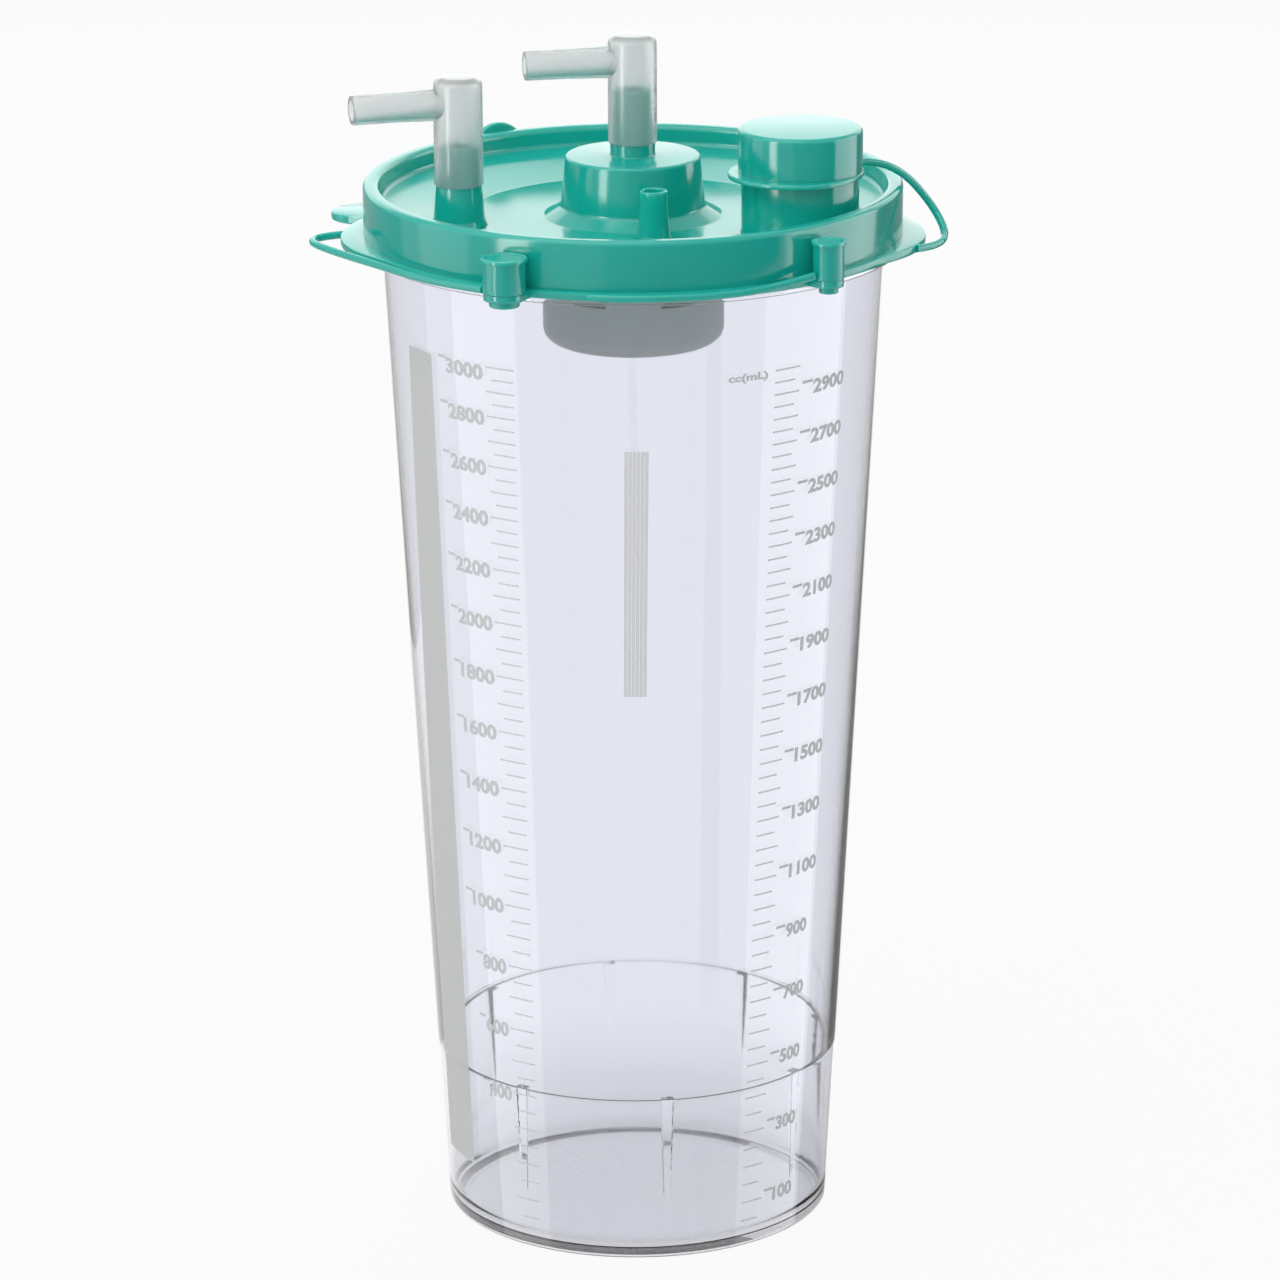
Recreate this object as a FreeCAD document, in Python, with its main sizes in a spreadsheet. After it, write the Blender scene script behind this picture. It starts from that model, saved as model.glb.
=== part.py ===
import FreeCAD, Part
import math
import os
import re
import Sketcher
from FreeCAD import Placement, Rotation, Vector

# Suction canister of three litres, with its push-fit lid, elbows, caps and float valve.
# Millimetres; +Z up; the origin is the centre of the base, and the front is towards -Y.

# Driving sizes: name, value and what it is
SIZES = [
    # Container
    ("base_radius", 55.5, "outer wall carried down to the base"),
    ("draft", 0.0532, "widening of the wall for each millimetre of height"),
    ("wall", 2.0, "container wall above the ledge"),
    ("foot_wall", 2.7, "container wall below the ledge"),
    ("foot_inset", 0.25, "how far the outside steps in below the ledge"),
    ("ledge_height", 49.0, "inner ledge that a nested container rests on"),
    ("floor", 2.0, "container floor"),
    ("floor_round", 5.0, "inner corner between floor and wall"),
    ("base_round", 1.5, "outer corner of the base"),
    ("lip_top", 287.6, "top of the hanging lip, where the lid sits"),
    ("lip_thickness", 1.8, "hanging lip"),
    ("lip_reach", 2.0, "hanging lip beyond the collar"),
    ("lip_round", 0.6, "edge of the hanging lip"),
    ("collar_step", 3.5, "collar's outside beyond the wall below it"),
    ("collar_wall", 1.5, "collar above the lip"),
    ("collar_height", 13.4, "collar above the lip's top"),
    ("rib_count", 8, "stacking ribs below the ledge"),
    ("rib_width", 3.2, "stacking rib across"),
    ("rib_depth", 1.75, "stacking rib's reach at the ledge"),
    ("rib_root", 0.6, "how far a stacking rib runs into the wall"),
    ("rib_turn", -81.2, "direction of the first stacking rib, degrees"),
    # Lid
    ("lid_fit", 0.3, "clearance between the collar and the lid's channel"),
    ("lid_wall", 1.3, "walls of the lid's channel"),
    ("channel_gap", 1.0, "between the collar's top and the channel's roof"),
    ("rim_roof", 1.7, "roof of the channel"),
    ("rim_round", 1.25, "rounding of the rim's two top edges"),
    ("flange_reach", 2.1, "lid flange beyond the rim"),
    ("flange_thickness", 2.2, "lid flange"),
    ("ear_reach", 4.0, "side ears beyond the flange"),
    ("ear_radius", 40.0, "curve of a side ear"),
    ("ear_back", 7.0, "how far forward the side ears sit"),
    ("deck_rise", 6.2, "flat middle of the deck above the lip, top face"),
    ("deck_thickness", 1.8, "deck plate"),
    ("dish_width", 24.2, "rising part of the deck, between its flat middle and the rim"),
    ("dish_rise", 4.2, "rise of the deck to the rim"),
    ("tab_radius", 9.0, "side thumb tab"),
    ("tab_reach", 2.5, "side thumb tab's centre beyond the flange"),
    ("tab_turn", 163.0, "side thumb tab's direction, degrees"),
    ("lift_radius", 8.5, "upright rear thumb tab"),
    ("lift_thickness", 1.6, "upright rear thumb tab"),
    ("lift_rise", 9.9, "upright rear thumb tab's centre above the lip"),
    ("lift_turn", 121.0, "upright rear thumb tab's direction, degrees"),
    ("dimple_radius", 0.9, "mould gate dimple in the deck"),
    ("dimple_depth", 0.9, "mould gate dimple in the deck"),
    ("dimple_gap", 2.2, "mould gate dimple from the rim"),
    ("dimple_turn", 102.5, "mould gate dimple's direction, degrees"),
    # Tower and vacuum stub
    ("flare_reach", 4.7, "foot of the flare beyond the tower"),
    ("flare_height", 2.9, "flare round the tower"),
    ("tower_foot", 20.3, "tower's radius above the flare"),
    ("tower_taper", 1.4, "how much the tower narrows to its top"),
    ("tower_height", 17.1, "tower's top above the deck"),
    ("tower_wall", 1.6, "tower's wall and roof"),
    ("tower_round", 0.9, "tower's top edge"),
    ("stub_radius", 5.8, "port stub inside an elbow"),
    ("stub_taper", 0.25, "how much a stub narrows to its tip"),
    ("shoulder_step", 0.55, "shoulder that an elbow stands on, beyond its stub"),
    ("stub_bore", 3.4, "bore of a port stub"),
    ("vacuum_seat", 3.6, "vacuum elbow's foot above the tower"),
    ("vacuum_reach", 15.2, "vacuum stub above its shoulder"),
    # Patient stub, tandem port and spout
    ("patient_gap", 14.04, "between the patient stub and the rim"),
    ("patient_bearing", -166.1, "patient stub's direction, degrees"),
    ("patient_foot", 7.2, "patient stub's radius at the deck"),
    ("patient_seat", 11.5, "patient elbow's foot above the deck"),
    ("patient_reach", 11.1, "patient stub above its shoulder"),
    ("tandem_gap", 5.83, "between the tandem port and the tower"),
    ("tandem_bearing", -79.31, "tandem port's direction, degrees"),
    ("tandem_foot", 4.6, "tandem port's radius at the deck"),
    ("tandem_head", 3.9, "tandem port's radius near its mouth"),
    ("tandem_land", 5.0, "straight end of the tandem port"),
    ("tandem_height", 13.7, "tandem port above the deck"),
    ("tandem_bore", 2.75, "tandem port's bore"),
    ("spout_gap", 3.45, "between the spout's neck and the rim"),
    ("spout_bearing", -25.37, "pour spout's direction, degrees"),
    ("neck_step", 1.0, "spout neck beyond its mouth"),
    ("neck_height", 15.8, "spout neck's shoulder above the deck"),
    ("mouth_radius", 15.4, "spout mouth inside the cap"),
    ("mouth_height", 11.8, "spout mouth above the shoulder"),
    ("mouth_wall", 1.6, "spout mouth and neck"),
    # Spout cap
    ("cap_fit", 0.35, "clearance of the cap round and above the mouth"),
    ("cap_wall", 1.6, "cap's skirt and roof"),
    ("cap_round", 1.1, "cap's top edge"),
    ("cap_bead", 0.55, "reach of the bead at the cap's foot"),
    ("cap_bead_height", 1.4, "bead and thumb tab"),
    ("cap_tab_margin", 1.05, "crescent thumb tab's curve beyond the cap"),
    ("cap_tab_shift", 3.2, "how far the crescent stands off the cap's axis"),
    ("cap_tab_turn", -125.0, "direction of the crescent, degrees"),
    # Elbows
    ("socket_fit", 0.08, "running clearance of an elbow on its stub"),
    ("socket_wall", 1.02, "elbow socket"),
    ("elbow_height", 30.6, "elbow from foot to crown"),
    ("elbow_crown", 3.0, "rounding of the crown"),
    ("elbow_roof", 1.8, "thickness over the socket"),
    ("nozzle_height", 23.0, "nozzle's axis above the elbow's foot"),
    ("nozzle_reach", 30.6, "nozzle's tip from the elbow's axis"),
    ("nozzle_root", 4.45, "nozzle's radius at the socket"),
    ("nozzle_tip", 4.15, "nozzle's radius along its straight end"),
    ("nozzle_land", 12.0, "straight end of the nozzle, inside a hose"),
    ("nozzle_bore", 2.8, "nozzle's bore"),
    ("patient_turn", 17.0, "patient nozzle turned forwards, degrees"),
    ("vacuum_turn", 11.0, "vacuum nozzle turned forwards, degrees"),
    # Parked plugs
    ("park_fit", 0.3, "clearance between a parked plug and the rim or its hole"),
    ("left_plug_radius", 6.35, "wide plug's grip"),
    ("left_plug_height", 9.6, "wide plug above the flange"),
    ("left_plug_turn", -115.0, "wide plug's direction, degrees"),
    ("left_plug_stem", 4.2, "wide plug's stem"),
    ("plug_neck", 0.5, "how far a plug's barrel stands inside its grip"),
    ("plug_grip", 1.5, "grip at a plug's top"),
    ("right_plug_radius", 4.8, "narrow plug's grip"),
    ("right_plug_height", 10.6, "narrow plug above the flange"),
    ("right_plug_turn", -49.0, "narrow plug's direction, degrees"),
    ("right_plug_stem", 2.7, "narrow plug's stem"),
    ("stem_drop", 1.8, "how far a stem passes through the flange"),
    ("plug_round", 0.6, "edge of a plug's grip"),
    # Straps
    ("strap_radius", 1.05, "round moulded straps"),
    ("strap_gap", 0.3, "between a strap's end and the cap or plug it serves"),
    ("strap_root", 0.1, "how far a strap's end runs into its ear"),
    ("strap_lead", 4.5, "straight run of the spout strap off its cap"),
    ("strap_leave", 33.0, "direction in which the spout strap leaves its cap, degrees"),
    ("strap_hop", 2.6, "how far the spout strap clears the rim"),
    ("strap_climb", 2.6, "rise of the right strap to the side of its plug"),
    ("right_strap_turn", -99.0, "where the right strap leaves the flange, degrees"),
    # Float valve
    ("cage_radius", 25.6, "float cage"),
    ("cage_wall", 1.5, "float cage"),
    ("float_travel", 5.4, "between the resting seal and its nozzle"),
    ("cage_round", 4.5, "bottom corner of the cage"),
    ("cage_fit", 0.15, "clearance of the cage on the lid's collar"),
    ("cage_collar", 7.5, "collar under the deck that carries the cage"),
    ("window_count", 6, "windows round the cage"),
    ("window_width", 11.0, "cage window"),
    ("window_height", 9.0, "cage window"),
    ("window_drop", 19.5, "foot of the windows below the deck"),
    ("guide_count", 4, "guide ribs inside the cage"),
    ("guide_width", 1.2, "guide rib"),
    ("guide_height", 12.0, "guide rib above the cage floor"),
    ("guide_foot", 1.2, "step of a guide rib under the float"),
    ("guide_root", 0.6, "how far a guide rib runs into the cage"),
    ("rest_start", 8.75, "inner end of a float rest from the axis"),
    ("float_radius", 17.5, "float"),
    ("float_fit", 0.4, "clearance of the float in its guides"),
    ("float_height", 19.5, "float"),
    ("float_wall", 1.2, "float"),
    ("seal_radius", 8.5, "soft seal on the float"),
    ("seal_thickness", 2.0, "soft seal on the float"),
    ("seat_radius", 6.5, "nozzle that the seal closes"),
    ("seat_bore", 4.5, "nozzle that the seal closes"),
    ("seat_drop", 3.0, "nozzle below its plate"),
    ("seat_plate", 1.6, "plate of the valve seat"),
    ("seat_fit", 0.3, "clearance of the valve seat in the lid"),
    ("spigot_height", 4.0, "ring that carries the filter"),
    ("spigot_wall", 1.5, "ring that carries the filter"),
    ("filter_thickness", 3.0, "filter disc"),
]

doc = FreeCAD.newDocument("SuctionCanister")
sheet = doc.addObject("Spreadsheet::Sheet", "Sizes")
for row, (alias, value, note) in enumerate(SIZES, start=1):
    sheet.set(f"A{row}", note)
    sheet.set(f"B{row}", str(value))
    sheet.setAlias(f"B{row}", alias)
doc.recompute()
ALIASES = {alias for alias, value, note in SIZES}

# Heights and radii that several pieces share, as formulas of the driving sizes
LIP_UNDER = "(lip_top - lip_thickness)"
FLANGE_TOP = "(lip_top + flange_thickness)"
COLLAR_TOP = "(lip_top + collar_height)"
RIM_TOP = f"({COLLAR_TOP} + channel_gap + rim_roof)"
COLLAR = "(base_radius + draft * lip_top + collar_step)"
LIP = f"({COLLAR} + lip_reach)"
RIM_OUTER = f"({COLLAR} + lid_fit + lid_wall)"
CHANNEL_OUTER = f"({COLLAR} + lid_fit)"
CHANNEL_INNER = f"({COLLAR} - collar_wall - lid_fit)"
RIM_INNER = f"({CHANNEL_INNER} - lid_wall)"
FLANGE = f"({RIM_OUTER} + flange_reach)"
EAR = f"({FLANGE} + ear_reach)"
DECK = "(lip_top + deck_rise)"
DECK_UNDER = f"({DECK} - deck_thickness)"
DISH_EDGE = f"({DECK} + dish_rise)"
DISH_START = f"({RIM_INNER} - dish_width)"
TOWER_HEAD = "(tower_foot - tower_taper)"
TOWER_TOP = f"({DECK} + tower_height)"
STUB_SHOULDER = "(stub_radius + shoulder_step)"
VACUUM_FOOT = f"({TOWER_TOP} + vacuum_seat)"
PATIENT_FOOT = f"({DECK} + patient_seat)"
NECK = "(mouth_radius + neck_step)"
NECK_TOP = f"({DECK} + neck_height)"
MOUTH_TOP = f"({NECK_TOP} + mouth_height)"
CAP_FOOT = f"({NECK_TOP} + cap_fit)"
CAP_TOP = f"({MOUTH_TOP} + cap_fit + cap_wall)"
CAP_RADIUS = "(mouth_radius + cap_fit + cap_wall)"
CAGE_HEIGHT = ("(seat_plate + seat_drop + float_travel + seal_thickness + float_height"
               " + guide_foot + cage_wall)")
CAGE_BOTTOM = f"({DECK_UNDER} - {CAGE_HEIGHT})"
CAGE_FLOOR = f"({CAGE_BOTTOM} + cage_wall)"
CAGE_INNER = "(cage_radius - cage_wall)"
CAGE_COLLAR_OUTER = f"({CAGE_INNER} - cage_fit)"
CAGE_COLLAR_INNER = f"({CAGE_COLLAR_OUTER} - lid_wall)"
TOWER_INNER_FOOT = "(tower_foot - tower_wall)"
TOWER_INNER_HEAD = f"({TOWER_HEAD} - tower_wall)"
SPIGOT_RADIUS = f"({TOWER_INNER_HEAD} - seat_fit)"
FLOAT_FOOT = f"({CAGE_FLOOR} + guide_foot)"
FLOAT_TOP = f"({FLOAT_FOOT} + float_height)"
LEFT_PLUG_CENTRE = f"({RIM_OUTER} + park_fit + left_plug_radius)"
RIGHT_PLUG_CENTRE = f"({RIM_OUTER} + park_fit + right_plug_radius)"
PATIENT_CENTRE = f"({RIM_INNER} - patient_gap - patient_foot)"
TANDEM_CENTRE = "(tower_foot + tandem_gap + tandem_foot)"
SPOUT_CENTRE = f"({RIM_INNER} - spout_gap - {NECK})"
TAB_CENTRE = f"({FLANGE} + tab_reach)"
DIMPLE_CENTRE = f"({RIM_INNER} - dimple_gap)"


def wall_radius(height):
    """Outer wall at a height above the ledge: the base radius plus the draft times the height."""
    return f"(base_radius + draft * {height})"


def foot_radius(height):
    """Outer wall at a height below the ledge, where the outside is stepped in a little."""
    return f"(base_radius - foot_inset + draft * {height})"


def at(distance, turn):
    """X and Y of a point at a distance from the axis in a direction in degrees."""
    return {"x": f"({distance} * cos({turn} * 1deg))", "y": f"({distance} * sin({turn} * 1deg))"}


PATIENT_SPOT = at(PATIENT_CENTRE, "patient_bearing")
TANDEM_SPOT = at(TANDEM_CENTRE, "tandem_bearing")
SPOUT_SPOT = at(SPOUT_CENTRE, "spout_bearing")


def bound(formula):
    """The formula with each size's name pointing at its cell in the sheet."""
    return re.sub(r"[a-z][a-z0-9_]*", lambda word: f"Sizes.{word.group()}"
                  if word.group() in ALIASES else word.group(), formula)


def size(formula):
    """The value of a formula of the sheet's sizes, in millimetres or degrees."""
    result = sheet.evalExpression(bound(formula))
    return float(getattr(result, "Value", result))


def spot(x, y, z):
    """A point from three formulas."""
    return Vector(size(x), size(y), size(z))


def origin_feature(body, role):
    """One of the body's own origin planes or axes."""
    return next(feature for feature in body.Origin.OriginFeatures if feature.Role == role)


def new_body(label):
    """An empty body whose label is its node's name."""
    body = doc.addObject("PartDesign::Body", label)
    body.Label = label
    return body


def place(body, x="0", y="0", z="0", turn="0"):
    """Set the body down at a point, turned about the vertical, all by formulas."""
    body.Placement = Placement(Vector(0, 0, 0), Rotation(Vector(0, 0, 1), 0.0))
    body.setExpression("Placement.Base.x", bound(x))
    body.setExpression("Placement.Base.y", bound(y))
    body.setExpression("Placement.Base.z", bound(z))
    body.setExpression("Placement.Rotation.Angle", bound(turn))


def revolve(body, name, corners):
    """Turn a closed outline of (radius, height) corners round the body's Z axis."""
    sketch = body.newObject("Sketcher::SketchObject", f"{name}Outline")
    sketch.AttachmentSupport = [(origin_feature(body, "XZ_Plane"), "")]
    sketch.MapMode = "FlatFace"
    spots = [Vector(size(radius), size(height), 0) for radius, height in corners]
    count = len(corners)
    for k in range(count):
        sketch.addGeometry(Part.LineSegment(spots[k], spots[(k + 1) % count]), False)
    for k in range(count):
        sketch.addConstraint(Sketcher.Constraint("Coincident", k, 2, (k + 1) % count, 1))
    vertical_axis, horizontal_axis = -2, -1
    for k, (radius, height) in enumerate(corners):
        for kind, formula, axis in (("DistanceX", radius, vertical_axis),
                                    ("DistanceY", height, horizontal_axis)):
            if formula == "0":
                sketch.addConstraint(Sketcher.Constraint("PointOnObject", k, 1, axis))
                continue
            index = sketch.addConstraint(Sketcher.Constraint(kind, -1, 1, k, 1, size(formula)))
            sketch.setExpression(f"Constraints[{index}]", bound(formula))
    turned = body.newObject("PartDesign::Revolution", name)
    turned.Profile = sketch
    turned.ReferenceAxis = (sketch, ["V_Axis"])
    turned.Angle = 360.0
    sketch.Visibility = False
    doc.recompute()
    return turned


def primitive(body, kind, name, sizes, x="0", y="0", z="0", axis=None):
    """A cylinder, cone or box added to the body or cut from it, placed by formulas."""
    feature = body.newObject(f"PartDesign::{kind}", name)
    feature.AttachmentSupport = [(origin_feature(body, "XY_Plane"), "")]
    feature.MapMode = "FlatFace"
    for property_name, formula in sizes.items():
        feature.setExpression(property_name, bound(formula))
    spin = Rotation(axis, 90.0) if axis else Rotation()
    feature.AttachmentOffset = Placement(Vector(0, 0, 0), spin)
    feature.setExpression("AttachmentOffset.Base.x", bound(x))
    feature.setExpression("AttachmentOffset.Base.y", bound(y))
    feature.setExpression("AttachmentOffset.Base.z", bound(z))
    doc.recompute()
    return feature


def polar_pattern(body, original, count):
    """Repeat a feature evenly round the body's Z axis."""
    pattern = body.newObject("PartDesign::PolarPattern", f"{original.Name}Ring")
    pattern.Originals = [original]
    pattern.Axis = (origin_feature(body, "Z_Axis"), [""])
    pattern.Angle = 360.0
    pattern.setExpression("Occurrences", bound(count))
    body.Tip = pattern
    doc.recompute()
    return pattern


def round_edges(body, name, radius, rings):
    """Fillet the circular edges that lie at the given (ring radius, height) pairs."""
    base = body.Tip
    near = 1e-4 * size("base_radius")
    targets = [(size(ring), size(height)) for ring, height in rings]
    names = []
    for number, edge in enumerate(base.Shape.Edges, start=1):
        if not isinstance(edge.Curve, Part.Circle):
            continue
        here = (edge.Curve.Radius, edge.Curve.Center.z)
        if any(math.dist(here, target) < near for target in targets):
            names.append(f"Edge{number}")
    fillet = body.newObject("PartDesign::Fillet", name)
    fillet.Base = (base, names)
    fillet.setExpression("Radius", bound(radius))
    doc.recompute()
    return fillet


def build_canister():
    """Clear container: a turned shell, rounded at the floor, with a ring of stacking ribs."""
    body = new_body("canister")
    ledge_inner = f"({foot_radius('ledge_height')} - foot_wall)"
    collar_inner = f"({COLLAR} - collar_wall)"
    revolve(body, "Shell", [
        ("0", "0"),
        (foot_radius("0"), "0"),
        (foot_radius("ledge_height"), "ledge_height"),
        (wall_radius("ledge_height"), "ledge_height"),
        (wall_radius(LIP_UNDER), LIP_UNDER),
        (LIP, LIP_UNDER),
        (LIP, "lip_top"),
        (COLLAR, "lip_top"),
        (COLLAR, COLLAR_TOP),
        (collar_inner, COLLAR_TOP),
        (collar_inner, "lip_top"),
        (f"({wall_radius('lip_top')} - wall)", "lip_top"),
        (f"({wall_radius('ledge_height')} - wall)", "ledge_height"),
        (ledge_inner, "ledge_height"),
        (f"({foot_radius('floor')} - foot_wall)", "floor"),
        ("0", "floor"),
    ])
    round_edges(body, "FloorCorner", "floor_round",
                [(f"({foot_radius('floor')} - foot_wall)", "floor")])
    round_edges(body, "BaseCorner", "base_round", [(foot_radius("0"), "0")])
    round_edges(body, "LipEdge", "lip_round", [(LIP, LIP_UNDER)])
    fade = "(rib_depth / draft)"
    rib = primitive(body, "AdditiveBox", "StackingRib",
                    {"Length": "rib_depth + rib_root", "Width": "rib_width", "Height": fade},
                    x=f"{ledge_inner} - rib_depth", y="-rib_width / 2", z=f"ledge_height - {fade}")
    polar_pattern(body, rib, "rib_count")
    place(body, turn="rib_turn")
    return body


def add_flange(body):
    """The lid's flat flange with its side ears, thumb tab and the two plugs' parking discs."""
    plate = {"Height": "flange_thickness"}
    primitive(body, "AdditiveCylinder", "Flange", {"Radius": FLANGE, **plate}, z="lip_top")
    for side, sign in (("Left", "-1"), ("Right", "1")):
        primitive(body, "AdditiveCylinder", f"{side}Ear", {"Radius": "ear_radius", **plate},
                  x=f"{sign} * ({EAR} - ear_radius)", y="-ear_back", z="lip_top")
    primitive(body, "AdditiveCylinder", "SideTab", {"Radius": "tab_radius", **plate},
              **at(TAB_CENTRE, "tab_turn"), z="lip_top")
    primitive(body, "AdditiveCylinder", "LeftPark", {"Radius": "left_plug_radius", **plate},
              **at(LEFT_PLUG_CENTRE, "left_plug_turn"), z="lip_top")
    primitive(body, "AdditiveCylinder", "RightPark", {"Radius": "right_plug_radius", **plate},
              **at(RIGHT_PLUG_CENTRE, "right_plug_turn"), z="lip_top")
    primitive(body, "SubtractiveCylinder", "FlangeOpening",
              {"Radius": CHANNEL_OUTER, **plate}, z="lip_top")


def add_crown(body):
    """One turned section: rim channel, dished deck, tower, vacuum stub and cage collar."""
    revolve(body, "Crown", [
        (CHANNEL_OUTER, "lip_top"),
        (RIM_OUTER, "lip_top"),
        (RIM_OUTER, RIM_TOP),
        (RIM_INNER, RIM_TOP),
        (RIM_INNER, DISH_EDGE),
        (DISH_START, DECK),
        ("tower_foot + flare_reach", DECK),
        ("tower_foot", f"{DECK} + flare_height"),
        (TOWER_HEAD, TOWER_TOP),
        (STUB_SHOULDER, TOWER_TOP),
        (STUB_SHOULDER, VACUUM_FOOT),
        ("stub_radius", VACUUM_FOOT),
        ("stub_radius - stub_taper", f"{VACUUM_FOOT} + vacuum_reach"),
        ("stub_bore", f"{VACUUM_FOOT} + vacuum_reach"),
        ("stub_bore", f"{TOWER_TOP} - tower_wall"),
        (TOWER_INNER_HEAD, f"{TOWER_TOP} - tower_wall"),
        (TOWER_INNER_FOOT, DECK_UNDER),
        (CAGE_COLLAR_INNER, DECK_UNDER),
        (CAGE_COLLAR_INNER, f"{DECK_UNDER} - cage_collar"),
        (CAGE_COLLAR_OUTER, f"{DECK_UNDER} - cage_collar"),
        (CAGE_COLLAR_OUTER, DECK_UNDER),
        (DISH_START, DECK_UNDER),
        (RIM_INNER, f"{DISH_EDGE} - deck_thickness"),
        (RIM_INNER, "lip_top"),
        (CHANNEL_INNER, "lip_top"),
        (CHANNEL_INNER, f"{RIM_TOP} - rim_roof"),
        (CHANNEL_OUTER, f"{RIM_TOP} - rim_roof"),
    ])
    round_edges(body, "RimEdges", "rim_round", [(RIM_OUTER, RIM_TOP), (RIM_INNER, RIM_TOP)])
    round_edges(body, "TowerEdge", "tower_round", [(TOWER_HEAD, TOWER_TOP)])


def add_ports(body):
    """Patient stub, tandem port and spout neck, each a boss on the deck with its bore."""
    primitive(body, "AdditiveCone", "PatientFoot",
              {"Radius1": "patient_foot", "Radius2": STUB_SHOULDER,
               "Height": "patient_seat + deck_thickness"},
              **PATIENT_SPOT, z=DECK_UNDER)
    primitive(body, "AdditiveCone", "PatientStub",
              {"Radius1": "stub_radius", "Radius2": "stub_radius - stub_taper",
               "Height": "patient_reach"},
              **PATIENT_SPOT, z=PATIENT_FOOT)
    primitive(body, "AdditiveCone", "TandemFoot",
              {"Radius1": "tandem_foot", "Radius2": "tandem_head",
               "Height": "tandem_height + deck_thickness - tandem_land"},
              **TANDEM_SPOT, z=DECK_UNDER)
    primitive(body, "AdditiveCylinder", "TandemMouth",
              {"Radius": "tandem_head", "Height": "tandem_land"},
              **TANDEM_SPOT, z=f"{DECK} + tandem_height - tandem_land")
    primitive(body, "AdditiveCylinder", "SpoutNeck",
              {"Radius": NECK, "Height": "neck_height + deck_thickness"},
              **SPOUT_SPOT, z=DECK_UNDER)
    primitive(body, "AdditiveCylinder", "SpoutMouth",
              {"Radius": "mouth_radius", "Height": "mouth_height"},
              **SPOUT_SPOT, z=NECK_TOP)
    primitive(body, "SubtractiveCylinder", "PatientBore",
              {"Radius": "stub_bore", "Height": "deck_thickness + patient_seat + patient_reach"},
              **PATIENT_SPOT, z=DECK_UNDER)
    primitive(body, "SubtractiveCylinder", "TandemBore",
              {"Radius": "tandem_bore", "Height": "deck_thickness + tandem_height"},
              **TANDEM_SPOT, z=DECK_UNDER)
    primitive(body, "SubtractiveCylinder", "SpoutBore",
              {"Radius": "mouth_radius - mouth_wall",
               "Height": "deck_thickness + neck_height + mouth_height"},
              **SPOUT_SPOT, z=DECK_UNDER)


def build_lid():
    """Teal lid, one moulding."""
    body = new_body("lid")
    add_flange(body)
    add_crown(body)
    add_ports(body)
    upright = Rotation(Vector(0, 0, 1), size("lift_turn")) * Rotation(Vector(0, 1, 0), 90.0)
    tab = primitive(body, "AdditiveCylinder", "LiftTab",
                    {"Radius": "lift_radius", "Height": "lift_thickness + lid_wall / 2"},
                    **at(f"({RIM_OUTER} - lid_wall / 2)", "lift_turn"),
                    z="lip_top + lift_rise")
    tab.AttachmentOffset = Placement(tab.AttachmentOffset.Base, upright)
    primitive(body, "SubtractiveCylinder", "GateDimple",
              {"Radius": "dimple_radius", "Height": "dish_rise"},
              **at(DIMPLE_CENTRE, "dimple_turn"),
              z=f"{DISH_EDGE} - dish_rise * dimple_gap / dish_width - dimple_depth")
    for side, centre in (("left", LEFT_PLUG_CENTRE), ("right", RIGHT_PLUG_CENTRE)):
        primitive(body, "SubtractiveCylinder", f"{side.title()}ParkHole",
                  {"Radius": f"{side}_plug_stem + park_fit", "Height": "flange_thickness"},
                  **at(centre, f"{side}_plug_turn"), z="lip_top")
    doc.recompute()
    return body


def build_elbow(label, stub, foot, turn):
    """Milky elbow: a closed socket that turns on its stub, with a hose nozzle near its crown."""
    body = new_body(label)
    socket = "(stub_radius + socket_fit + socket_wall)"
    primitive(body, "AdditiveCylinder", "Socket", {"Radius": socket, "Height": "elbow_height"})
    round_edges(body, "Crown", "elbow_crown", [(socket, "elbow_height")])
    towards_tip = Vector(0, -1, 0)
    primitive(body, "AdditiveCone", "NozzleRoot",
              {"Radius1": "nozzle_root", "Radius2": "nozzle_tip",
               "Height": "nozzle_reach - nozzle_land"},
              z="nozzle_height", axis=towards_tip)
    primitive(body, "AdditiveCylinder", "NozzleEnd",
              {"Radius": "nozzle_tip", "Height": "nozzle_land"},
              x="-(nozzle_reach - nozzle_land)", z="nozzle_height", axis=towards_tip)
    primitive(body, "SubtractiveCylinder", "SocketBore",
              {"Radius": "stub_radius + socket_fit", "Height": "elbow_height - elbow_roof"})
    primitive(body, "SubtractiveCylinder", "NozzleBore",
              {"Radius": "nozzle_bore", "Height": "nozzle_reach"},
              z="nozzle_height", axis=towards_tip)
    place(body, **stub, z=foot, turn=turn)
    return body


def build_spout_cap():
    """Cap over the spout's mouth: a turned cup with a bead at its foot and a crescent tab."""
    body = new_body("spout_cap")
    height = f"({CAP_TOP} - {CAP_FOOT})"
    primitive(body, "AdditiveCylinder", "Cup", {"Radius": CAP_RADIUS, "Height": height})
    round_edges(body, "CapEdge", "cap_round", [(CAP_RADIUS, height)])
    primitive(body, "AdditiveCylinder", "Bead",
              {"Radius": f"{CAP_RADIUS} + cap_bead", "Height": "cap_bead_height"})
    primitive(body, "AdditiveCylinder", "Crescent",
              {"Radius": f"{CAP_RADIUS} + cap_tab_margin", "Height": "cap_bead_height"},
              **at("cap_tab_shift", "cap_tab_turn"))
    primitive(body, "SubtractiveCylinder", "CapBore",
              {"Radius": "mouth_radius + cap_fit", "Height": f"{height} - cap_wall"})
    place(body, **SPOUT_SPOT, z=CAP_FOOT)
    return body


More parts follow.
